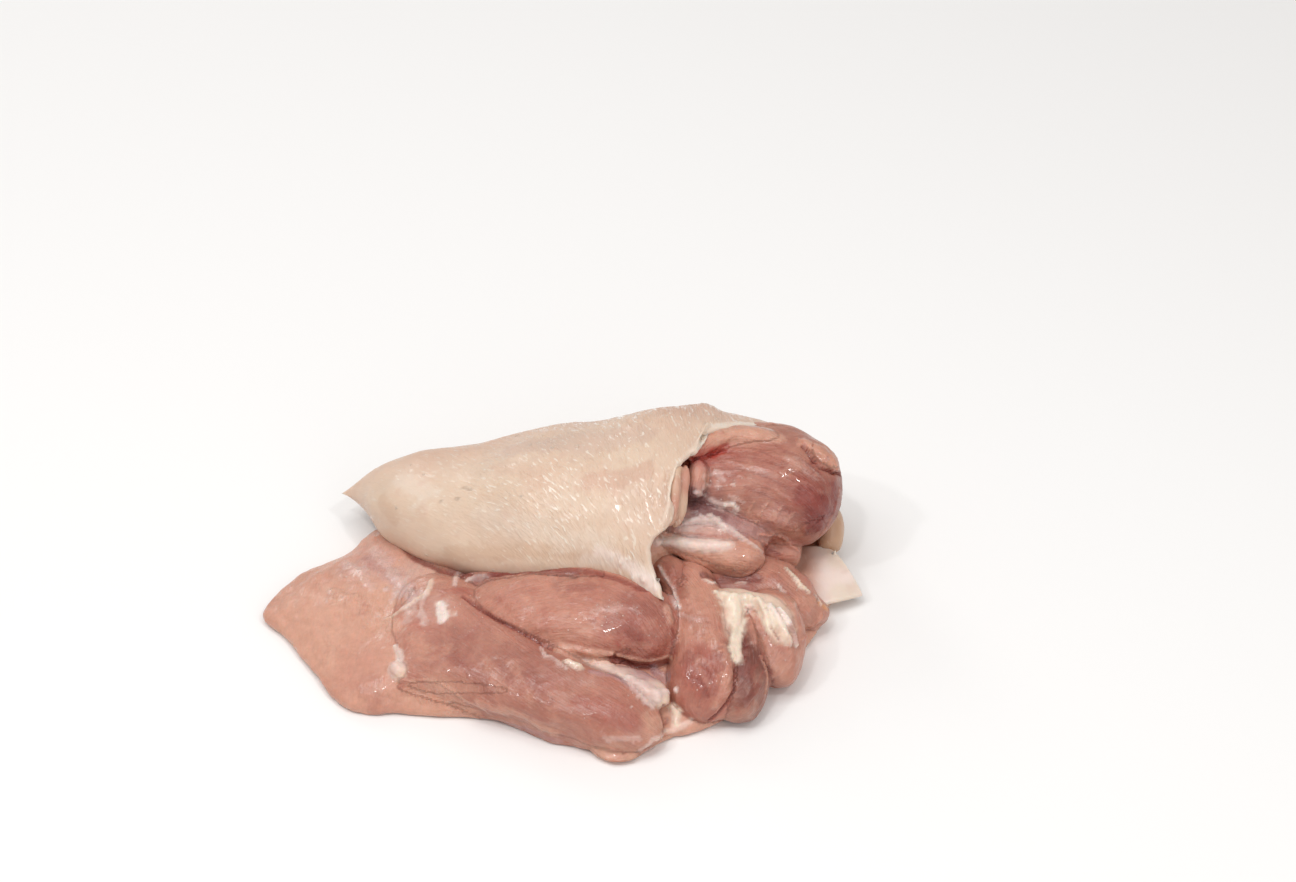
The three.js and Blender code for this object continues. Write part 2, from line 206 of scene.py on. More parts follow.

# Strokes over the surface, in the order that they are laid: ([[x, y, z, half width], ...], height, colour,
# strength of the colour, raggedness of its edge, and on flesh its gloss). Most give the surface its own
# colour;
# those noted below paint highlights, glints, sheen, light and shadow instead.
OPEN_STROKES = [
    ([[-23.1, -5.5, 14.9, 0.44], [-19.9, -8.7, 14.8, 0.49], [-14, -14.1, 15.3, 0.49],
      [-9.3, -17.4, 15, 0.49], [-4.6, -20.1, 14.1, 0.49], [-0.9, -22.7, 14.5, 0.49]],
      -0.9, "deep red", 0.8, 0.2, 0.2),
    ([[-22, 1.4, 14.4, 0.61], [-17.2, 0.7, 15.7, 0.73]], 0.4, "sinew", 0.8, 0.5, 1),
    ([[-24.9, 7.6, 10.4, 0.61], [-24.9, -1.3, 14.8, 0.49]], 0.5, "sinew", 0.7, 0.5, 1),
    ([[-26.7, -3.4, 14.9, 1.71], [-22.2, -3.5, 15, 1.95]], 0, "red", 0.5, 0.5, 0.4),
    ([[-30.6, 1.6, 14.2, 0.61], [-31.6, -3.3, 14.5, 0.73], [-34.8, -5.3, 13.1, 0.73],
      [-38.3, -6.6, 11.1, 0.61], [-41.4, -7.1, 9.4, 0.49]], 0.5, "fat", 0.6, 0.6, 0.6),
    # Painted highlight: the white glint at the joint, and in the next stroke its pale arcs to the left.
    ([[-28.1, -7.8, 14.6, 1.59], [-27.6, -10.1, 14.3, 1.95], [-27.5, -11.8, 14, 1.46]],
      0.3, "white", 0.95, 0.5, 1),
    ([[-32, -3.1, 14.6, 0.61], [-32.8, -7.3, 13.5, 0.73], [-31.7, -12.1, 13, 0.73]],
      0.3, "sinew", 0.4, 0.6, 0.9),
    # Painted highlight: a white mark on the strap's left edge above the nodule.
    ([[-38.4, -16.3, 9.6, 0.73], [-37.3, -19.6, 9.4, 0.98]], 0.4, "white", 0.6, 0.4, 1),
    ([[-37, -25.7, 7.4, 0.61], [-33.5, -26.3, 8, 0.49], [-30.7, -27, 9.1, 0.49], [-27.7, -28, 8.9, 0.49],
      [-24.7, -29.7, 7.9, 0.49], [-21.9, -30.9, 6.2, 0.54], [-18.4, -33.6, 6.1, 0.59],
      [-16.2, -33, 3.8, 0.49]], 0.15, "pale", 0.6, 0.4, 0.9),
    ([[-18.6, -33.1, 7.5, 1.22], [-15.4, -34.5, 7, 1.46], [-11.2, -35.8, 7.7, 1.46],
      [-6.6, -38, 6.7, 1.46], [-1.7, -39.5, 4.3, 1.22]], 0.2, "pale", 0.5, 0.5, 0.6),
    ([[-12.4, -33.7, 1.5, 0.85], [-5.6, -37.3, 2.3, 0.98], [0.1, -39.6, 1.8, 0.98]],
      0, "lilac", 0.45, 0.3, 0.6),
    ([[-26.7, -20.6, 12.4, 1.95], [-23.3, -24.2, 12.8, 1.95]], 0, "brick", 0.5, 0.4, 0.5),
    ([[-20.5, -26.5, 12.5, 1.71], [-16.3, -31.7, 10.6, 1.71]], 0, "brick", 0.5, 0.4, 0.5),
    ([[-6.7, -29.6, 14.3, 1.71], [-2.9, -37.1, 12, 1.71]], 0, "brick", 0.45, 0.4, 0.5),
    ([[-24.5, -10.5, 14.6, 1.71], [-16.2, -16.5, 15.4, 1.71], [-8, -21.8, 15.3, 1.71]],
      0, "rose", 0.35, 0.4, 0.5),
    ([[4.8, -36.7, 12.6, 2.2], [10.5, -40.2, 11.4, 2.68], [17.3, -41.4, 9.3, 2.44]], 0, "red", 0.3, 0.4, 0.5),
    ([[-4.3, -21.9, 15.3, 0.61], [-3.1, -25.6, 15.8, 0.61]], 0.5, "sinew", 0.6, 0.3, 1),
    ([[-2, -25.4, 16, 0.73], [0.1, -27.4, 15.7, 0.85], [1.5, -28.7, 15.1, 0.73]], 0.5, "sinew", 0.5, 0.4, 1),
    ([[2, -26.7, 16, 1.46], [4.7, -27.8, 15.4, 1.46]], 1.1, "fat", 0.75, 0.3, 1),
    ([[-0.9, -22.1, 14.5, 0.85], [3.5, -22.8, 14.3, 1.34], [8.1, -23.7, 13.8, 1.46],
      [11.9, -23.6, 13.4, 0.98]], 0.7, "pale", 0.65, 0.3, 0.7),
    ([[7.4, -28.8, 14.2, 0.85], [12.7, -29.4, 13.2, 0.98], [17.9, -33, 12, 0.98]],
      0.1, "lilac", 0.75, 0.3, 0.8),
    ([[11.9, -23.6, 12.5, 0.73], [16.5, -22.1, 9.3, 0.98], [20.7, -22.1, 8.3, 0.85]],
      -0.9, "red", 0.9, 0.3, 0.4),
    ([[21.8, -23, 7.9, 1.46], [24.8, -26.3, 9.3, 1.46]], -0.3, "lilac", 0.8, 0.2, 0.8),
    ([[15.6, -29.6, 13.4, 1.22], [18.4, -31.6, 13.1, 1.83], [21.1, -34, 12.4, 1.95],
      [22.5, -35, 10.8, 1.59]], 0.9, "sinew", 0.9, 0.6, 1),
    ([[21.8, -33.5, 12.6, 1.46], [25.2, -31.7, 10.7, 1.22]], 0.6, "sinew", 0.85, 0.5, 0.9),
    ([[18.6, -43.8, 3.3, 0.73], [21.6, -42.5, 5.6, 0.73], [25.7, -37.1, 2.8, 0.73],
      [29.8, -35.2, 3.7, 0.73]], 0.3, "white", 0.4, 0.4, 0.7),
    ([[-19.6, 0.7, 14.8, 1.22], [-12, 0, 17.1, 1.22], [-3.7, -2.8, 20.1, 1.46], [3.3, -4.7, 20.9, 1.46]],
      -0.5, "plum", 0.6, 0.4, 0.4),
    ([[-0.1, -7.4, 21, 2.44], [6.8, -9, 21.9, 2.2]], 0, "brick", 0.45, 0.5, 0.5),
    # Painted sheen: a faint pale streak across the lens.
    ([[9.2, -15.5, 20.9, 1.95], [13.3, -15.1, 21.1, 1.22], [17.2, -15.4, 20.9, 0.98]],
      0.1, "sinew", 0.15, 0.9, 1),
    ([[14.2, -22.1, 16.5, 1.95], [18.4, -22.1, 15.2, 2.2], [23.4, -21.2, 14.3, 2.2]],
      0, "red", 0.6, 0.3, 0.5),
    ([[15.2, -20.4, 18.7, 1.46], [18.4, -21.2, 17.5, 1.46]], 0, "deep red", 0.45, 0.5, 0.5),
    ([[25.9, -18, 16.3, 0.73], [26.2, -19.9, 14.2, 0.85], [25.7, -21.6, 12.1, 0.73]],
      0, "deep red", 0.65, 0.4, 0.5),
    ([[13.3, -23.1, 13, 0.61], [16.8, -23.3, 11.9, 0.68], [20.9, -23, 10.9, 0.68],
      [24.8, -21.8, 10.7, 0.59]], 0.35, "pale", 0.7, 0.3, 0.8),
    ([[-14, -9.3, 18.1, 2.44], [-4.6, -16.6, 18.1, 2.44], [4.6, -21.3, 16.3, 1.95]],
      0, "salmon", 0.4, 0.4, 0.5),
    ([[22.3, -0.2, 19.9, 0.59], [23.9, -3.7, 19.4, 0.68], [25.8, -7.6, 18.6, 0.73],
      [26.9, -12.3, 18.4, 0.68]], 0.8, "sinew", 0.85, 0.3, 1),
    # Painted sheen: a pale patch where the sinew line ends.
    ([[24.8, -13.4, 19.5, 1.22], [25.7, -16.4, 17.9, 1.22]], 0.4, "pale", 0.6, 0.4, 1),
    ([[24.9, -0.7, 20, 1.95], [26.9, -4.7, 19.3, 2.2], [28.3, -9.2, 19.3, 1.95]], 0, "brick", 0.6, 0.3, 0.5),
    # Painted sheen: a small pale streak on the first lobe.
    ([[27.6, -13.8, 17.6, 0.49], [29.9, -15.7, 18.2, 0.61], [32.2, -16.4, 18.2, 0.49]],
      0.25, "sinew", 0.35, 0.6, 1),
    ([[29.3, -25, 15.2, 1.95], [32.7, -28.5, 14.6, 2.68], [33.9, -32.7, 11.7, 2.68]],
      0, "brick", 0.6, 0.8, 0.5),
    ([[30.2, -27, 14.9, 0.59], [32.1, -29.1, 14.5, 0.59], [33.9, -31.8, 12.7, 0.59]],
      0.08, "salmon", 0.45, 0.9, 0.35),
    ([[32.1, -25.5, 15.7, 0.59], [34.8, -28.4, 14.5, 0.59], [35.7, -31.2, 12.8, 0.49]],
      0.08, "salmon", 0.45, 0.9, 0.35),
    ([[31.1, -30.4, 13.3, 0.63], [32.9, -32.1, 12.4, 0.73], [33.9, -33.6, 10.4, 0.59]],
      -0.12, "deep red", 0.5, 0.6, 0.3),
    ([[33.4, -27.5, 14.9, 0.59], [35, -30.1, 13.6, 0.59]], -0.1, "deep red", 0.35, 0.6, 0.3),
    ([[28.9, -28, 14, 0.59], [30.2, -31.1, 12.6, 0.63]], -0.1, "deep red", 0.3, 0.6, 0.3),
    ([[38.5, -24.1, 15.9, 1.46], [38.9, -28.8, 13.6, 1.59], [37.7, -32.6, 11, 1.59],
      [35.5, -34.8, 8.7, 1.46]], 0.3, "blush", 0.55, 0.6, 0.6),
    ([[32.1, -18.6, 17.5, 1.95], [34.9, -21.7, 16.8, 2.2]], 0.1, "blush", 0.5, 0.6, 0.6),
    ([[35.9, -7.8, 19.2, 0.98], [39.1, -9.3, 19.9, 1.71], [42.6, -8.5, 19.2, 1.71],
      [44.9, -9.8, 19.5, 1.1]], 0.5, "fat", 0.95, 0.5, 0.6),
    ([[38.4, -10.4, 19.4, 1.95], [41, -11.7, 18.8, 2.44], [41.4, -14.6, 17.4, 2.07],
      [40.7, -17.9, 16.2, 1.71], [40.4, -21.2, 15.6, 1.51], [40.3, -25.3, 14.8, 1.37]],
      0.5, "fat", 0.95, 0.5, 0.6),
    ([[43.3, -8.6, 19.3, 0.98], [44.2, -10.3, 18.4, 0.98], [43.1, -11.8, 16.6, 0.73]],
      0.5, "white", 0.8, 0.4, 0.8),
    ([[42.1, -17.8, 15.4, 0.29], [42.7, -21.3, 14.7, 0.34], [42.4, -24.9, 14.2, 0.34]],
      -0.9, "deep red", 0.7, 0.4, 0.3),
    ([[43.8, -11.2, 16.7, 0.73], [44.4, -15.9, 15.8, 0.98], [45, -20.4, 14.8, 0.98]],
      0.4, "salmon", 0.5, 0.6, 0.5),
    ([[45.6, -10.6, 18.7, 1.46], [47.9, -13.5, 17.7, 2.44], [50.6, -16.5, 16.7, 2.68],
      [52.6, -19.1, 15.4, 1.95]], 0.3, "fat", 0.9, 0.3, 0.5),
    ([[45.8, -10.1, 19.1, 0.98], [46.9, -13.7, 17.9, 1.22], [48, -17, 15.9, 1.22],
      [49.8, -19.8, 14.5, 0.98]], 1, "fat", 0.9, 0.25, 0.6),
    ([[48.4, -11.3, 18.7, 0.98], [50.4, -15, 17.5, 1.22], [52.2, -17.8, 16.1, 1.22],
      [53.5, -19.7, 14.4, 0.98]], 1.1, "white", 0.85, 0.25, 0.6),
    ([[50.9, -12.2, 18.3, 0.83], [52.7, -14.7, 16.6, 1.07], [54.3, -16.8, 14.4, 1.07],
      [55, -18.9, 12.6, 0.73]], 1, "white", 0.85, 0.3, 0.6),
    ([[50.2, -12.2, 18.3, 0.59], [51.1, -13.1, 17.9, 0.59]], 0.8, "white", 0.9, 0.3, 0.9),
    ([[47.2, -12.3, 18.3, 0.24], [48.5, -14.8, 16.7, 0.29], [50.1, -17.8, 15.1, 0.34]],
      -0.4, "tan", 0.5, 0.2, 0.5),
    ([[50.2, -12.8, 17.9, 0.24], [52, -15.9, 16.5, 0.29], [53.8, -17.7, 13.7, 0.29]],
      -0.4, "tan", 0.4, 0.2, 0.5),
    ([[48.5, -16.3, 15.9, 0.34], [50.3, -19.2, 14.6, 0.34]], -0.5, "dusky", 0.6, 0.2, 0.5),
    ([[53.4, -15.9, 15.5, 0.73], [54.8, -18.2, 13.2, 0.73]], 0, "dusky", 0.6, 0.3, 0.5),
    ([[48.7, -22.4, 11.6, 2.2], [51, -23.9, 9.8, 2.44], [52.4, -22.2, 11.4, 1.95]],
      0, "blush", 0.5, 0.5, 0.6),
    ([[46.4, -20.4, 13.8, 1.22], [47.3, -23.2, 11.8, 1.46]], 0, "dusky", 0.4, 0.5, 0.5),
    ([[43.5, -28.4, 12.2, 2.2], [42.8, -33.1, 9.5, 2.44]], 0, "brick", 0.5, 0.4, 0.5),
    ([[46.3, -23.1, 13.3, 0.44], [47.5, -25.3, 11.3, 0.49], [47.9, -27.1, 8.9, 0.54],
      [47.5, -29.6, 7.2, 0.49]], 0.3, "blush", 0.7, 0.3, 0.7),
    ([[34.9, -34.1, 2, 1.46], [40.1, -35.2, 5.1, 1.95], [44.6, -33.4, 7.2, 1.71]], 0, "blush", 0.4, 0.4, 0.6),
    ([[40.1, -27.2, 13.3, 0.39], [39.8, -31.4, 10.4, 0.44], [37.5, -33.8, 7.6, 0.44],
      [34.1, -35, 4.2, 0.44]], -0.8, "deep red", 0.65, 0.3, 0.2),
    ([[46.8, -23.5, 12.7, 0.34], [48.5, -24.8, 9.4, 0.39], [48.9, -23.8, 3.2, 0.39]],
      -0.7, "deep red", 0.6, 0.3, 0.2),
    ([[45.2, -25.5, 12.8, 0.34], [43, -29.1, 11.9, 0.39], [41.2, -31.6, 10.5, 0.34]],
      -0.12, "red", 0.5, 0.8, 0.4),
    ([[46.3, -27, 11.1, 0.34], [44.2, -31.3, 10.3, 0.39], [42.1, -33.8, 8.9, 0.34]],
      -0.12, "red", 0.5, 0.8, 0.4),
    ([[33.2, -2.2, 18.5, 1.46], [39.4, 0.4, 14.7, 1.71], [45.5, 0.7, 14.5, 1.71]],
      -0.4, "plum", 0.7, 0.2, 0.8),
    # Painted highlights: two small white marks on the dark plum flesh of the rear sheet.
    ([[33.4, -3.9, 19.2, 0.39], [35.1, -4.8, 18.9, 0.44], [36.5, -3, 16.7, 0.39]], 0.3, "white", 0.7, 0.6, 1),
    ([[41, -0.7, 14.8, 0.44], [43.1, -0.6, 14.7, 0.39]], 0.3, "white", 0.6, 0.6, 1),
    ([[52.8, 4.2, 15.2, 0.59], [54.4, 1.9, 14.9, 0.73], [56, -0.3, 13.8, 0.73], [58.1, -1.1, 12.2, 0.63]],
      0.6, "fat", 0.85, 0.3, 1),
    ([[49.7, 0.7, 14.8, 1.95], [52.9, -2.5, 13.3, 1.95]], 0, "brick", 0.4, 0.4, 0.6),
    ([[53.1, -9.9, 16, 0.98], [56.4, -3.8, 12, 1.71], [59.3, -2.7, 10.9, 1.46]], 0.2, "blush", 0.5, 0.4, 0.9),
    ([[60.7, -2.3, 9.8, 0.83], [62.5, -1.9, 7.5, 0.83]], 0.2, "orange fat", 0.8, 0.4, 0.7),
    ([[59.8, -0.7, 10.9, 0.44], [61, -2.5, 9.4, 0.44]], 0.4, "white", 0.7, 0.4, 1),
    ([[50.6, -1, 14.4, 0.44], [51.9, -2.7, 14.1, 0.44]], 0.3, "white", 0.55, 0.7, 1),
    ([[54.2, -13.8, 14.7, 1.46], [57.6, -6, 9.2, 1.46]], 0, "salmon", 0.5, 0.4, 0.6),
    ([[55.5, -17, 12, 0.49], [58.6, -6, 4.9, 0.59], [61.4, -4.1, 7.7, 0.59]], 0.5, "blush", 0.5, 0.3, 0.7),
    ([[-45.6, 15.7, 7.5, 2.93], [-39.6, 6.9, 9.7, 3.41], [-35.4, -2.7, 12.6, 2.2]],
      0, "lilac", 0.3, 0.5, 0.5),
    ([[-53.6, 2.9, 8, 2.2], [-46.2, -2.3, 8.9, 2.44], [-38.6, -10.6, 10.5, 2.44]],
      0.15, "pale", 0.7, 0.5, 0.6),
    ([[10.5, -43.5, 7.3, 0.73], [14.3, -43.7, 7.2, 0.73], [18.4, -43.1, 7.2, 0.73]],
      0.2, "sinew", 0.3, 0.9, 1),
    ([[25.5, -32.4, 6.2, 0.73], [26.8, -33.7, 5.2, 1.22], [26.6, -35.9, 3.8, 0.98]],
      0.7, "fat", 0.8, 0.3, 0.8),
    ([[23.8, -34.6, 8.4, 0.39], [24.8, -34.7, 3.9, 0.44], [23.8, -39.2, 4.7, 0.39]],
      -0.5, "deep red", 0.5, 0.4, 0.3),
    ([[-33.6, -16.5, 11.5, 2.2], [-31.1, -21.1, 11.2, 2.2], [-26.5, -20.2, 12.6, 1.95]],
      0, "blush", 0.55, 0.5, 0.5),
    ([[20.7, -39.6, 8.5, 1.95], [23.4, -37.7, 6.4, 1.71]], 0, "pale", 0.6, 0.5, 0.5),
    # Painted shadow: deep red under the skin's lower edge in a shallow groove, this stroke and the next.
    ([[-43.5, 27.3, 5.1, 0.98], [-39.6, 20.3, 7.7, 0.98], [-36.5, 15.8, 8.1, 0.98], [-33, 11.9, 8.8, 1.07],
      [-28.3, 8.7, 9.3, 1.07], [-21.5, 2.4, 14.4, 0.98]], -0.3, "deep red", 0.7, 0.4, 0.2),
    ([[-16.8, 1.2, 15.9, 0.98], [-5.4, -0.9, 19.2, 1.07], [1.2, -2.6, 21.2, 1.07], [9.3, -5.2, 21.8, 1.07],
      [14.2, -7.6, 22.2, 0.98], [19.7, -9.9, 21.2, 0.88]], -0.3, "deep red", 0.7, 0.4, 0.2),
    ([[-16.6, -25.2, 13.8, 1.46], [-12.8, -32.5, 11.5, 1.71]], 0, "blush", 0.4, 0.5, 0.5),
    ([[-10.9, -26.5, 14.5, 1.22], [-7.5, -34.6, 12, 1.46]], 0, "blush", 0.35, 0.5, 0.5),
    ([[-38.3, 5, 9.9, 1.95], [-34.8, -4.5, 13.3, 2.2], [-36.3, -10.1, 11.7, 1.95]],
      0.1, "sinew", 0.35, 0.8, 0.8),
    ([[-45.9, 19.3, 6.7, 1.46], [-42.3, 13.4, 8.4, 1.71], [-39.3, 6.9, 9.7, 1.46]],
      0.1, "sinew", 0.3, 0.8, 0.8),
    ([[-52.1, 15.6, 6.3, 1.22], [-48, 9.2, 8.5, 1.46], [-44.8, 3.1, 9.1, 1.22]], 0.1, "sinew", 0.25, 0.9, 1),
    ([[37.3, -9, 19.3, 1.46], [41, -10, 19.4, 1.95], [44.2, -9.9, 19, 1.71]], 0.5, "fat", 0.95, 0.25, 0.6),
    ([[11, -18.7, 19.6, 2.2], [14.2, -19.4, 19.6, 2.44], [17.5, -20.6, 18.2, 2.2]],
      0, "brick", 0.6, 0.5, 0.15),
    ([[42.1, -27.1, 13.1, 1.71], [42.8, -30.1, 11.6, 2.2], [42.5, -33.1, 9.5, 2.2]],
      0, "maroon", 0.6, 0.4, 0.1),
    # Painted light: pales the shade under the strap's lower edge.
    ([[-35, -26.7, 6.1, 1.95], [-29.9, -28.3, 4.9, 2.2], [-23.9, -30.1, 3.7, 2.2],
      [-19.3, -31.5, 2.5, 1.71]], 0, "blush", 0.75, 0.3, 0.6),
    ([[48.1, -13.9, 17.4, 1.22], [50.6, -17.2, 16.1, 1.46], [52.4, -19.6, 14.6, 1.22]],
      0.5, "fat", 0.9, 0.3, 0.6),
    ([[47.1, -18.7, 13.7, 1.71], [49.4, -21.8, 12, 1.95], [51.5, -23.3, 10.5, 1.95]],
      0, "blush", 0.5, 0.4, 0.6),
    ([[29.9, -15.4, 18.3, 2.34], [32.1, -17.6, 17.8, 2.34]], 0, "brick", 0.35, 0.5, 0.5),
    ([[50.5, -22, 11.8, 2.34], [52.8, -23.1, 10.3, 2.34]], 0, "brick", 0.3, 0.5, 0.5),
    ([[49.4, -18.8, 15.2, 1.95], [51.7, -19.8, 13.5, 1.95]], 0, "salmon", 0.25, 0.5, 0.5),
    ([[17.2, -31.3, 13.1, 2.34], [19.5, -33.3, 12.6, 2.34]], 0, "rose", 0.25, 0.5, 0.5),
    ([[-44.9, -25.7, 5.8, 3.12], [-42.6, -27.4, 4.9, 3.12]], 0, "brick", 0.2, 0.5, 0.5),
    ([[20.7, -20.1, 18.1, 3.12], [23, -20.7, 16.1, 3.12]], 0, "salmon", 0.4, 0.5, 0.5),
]
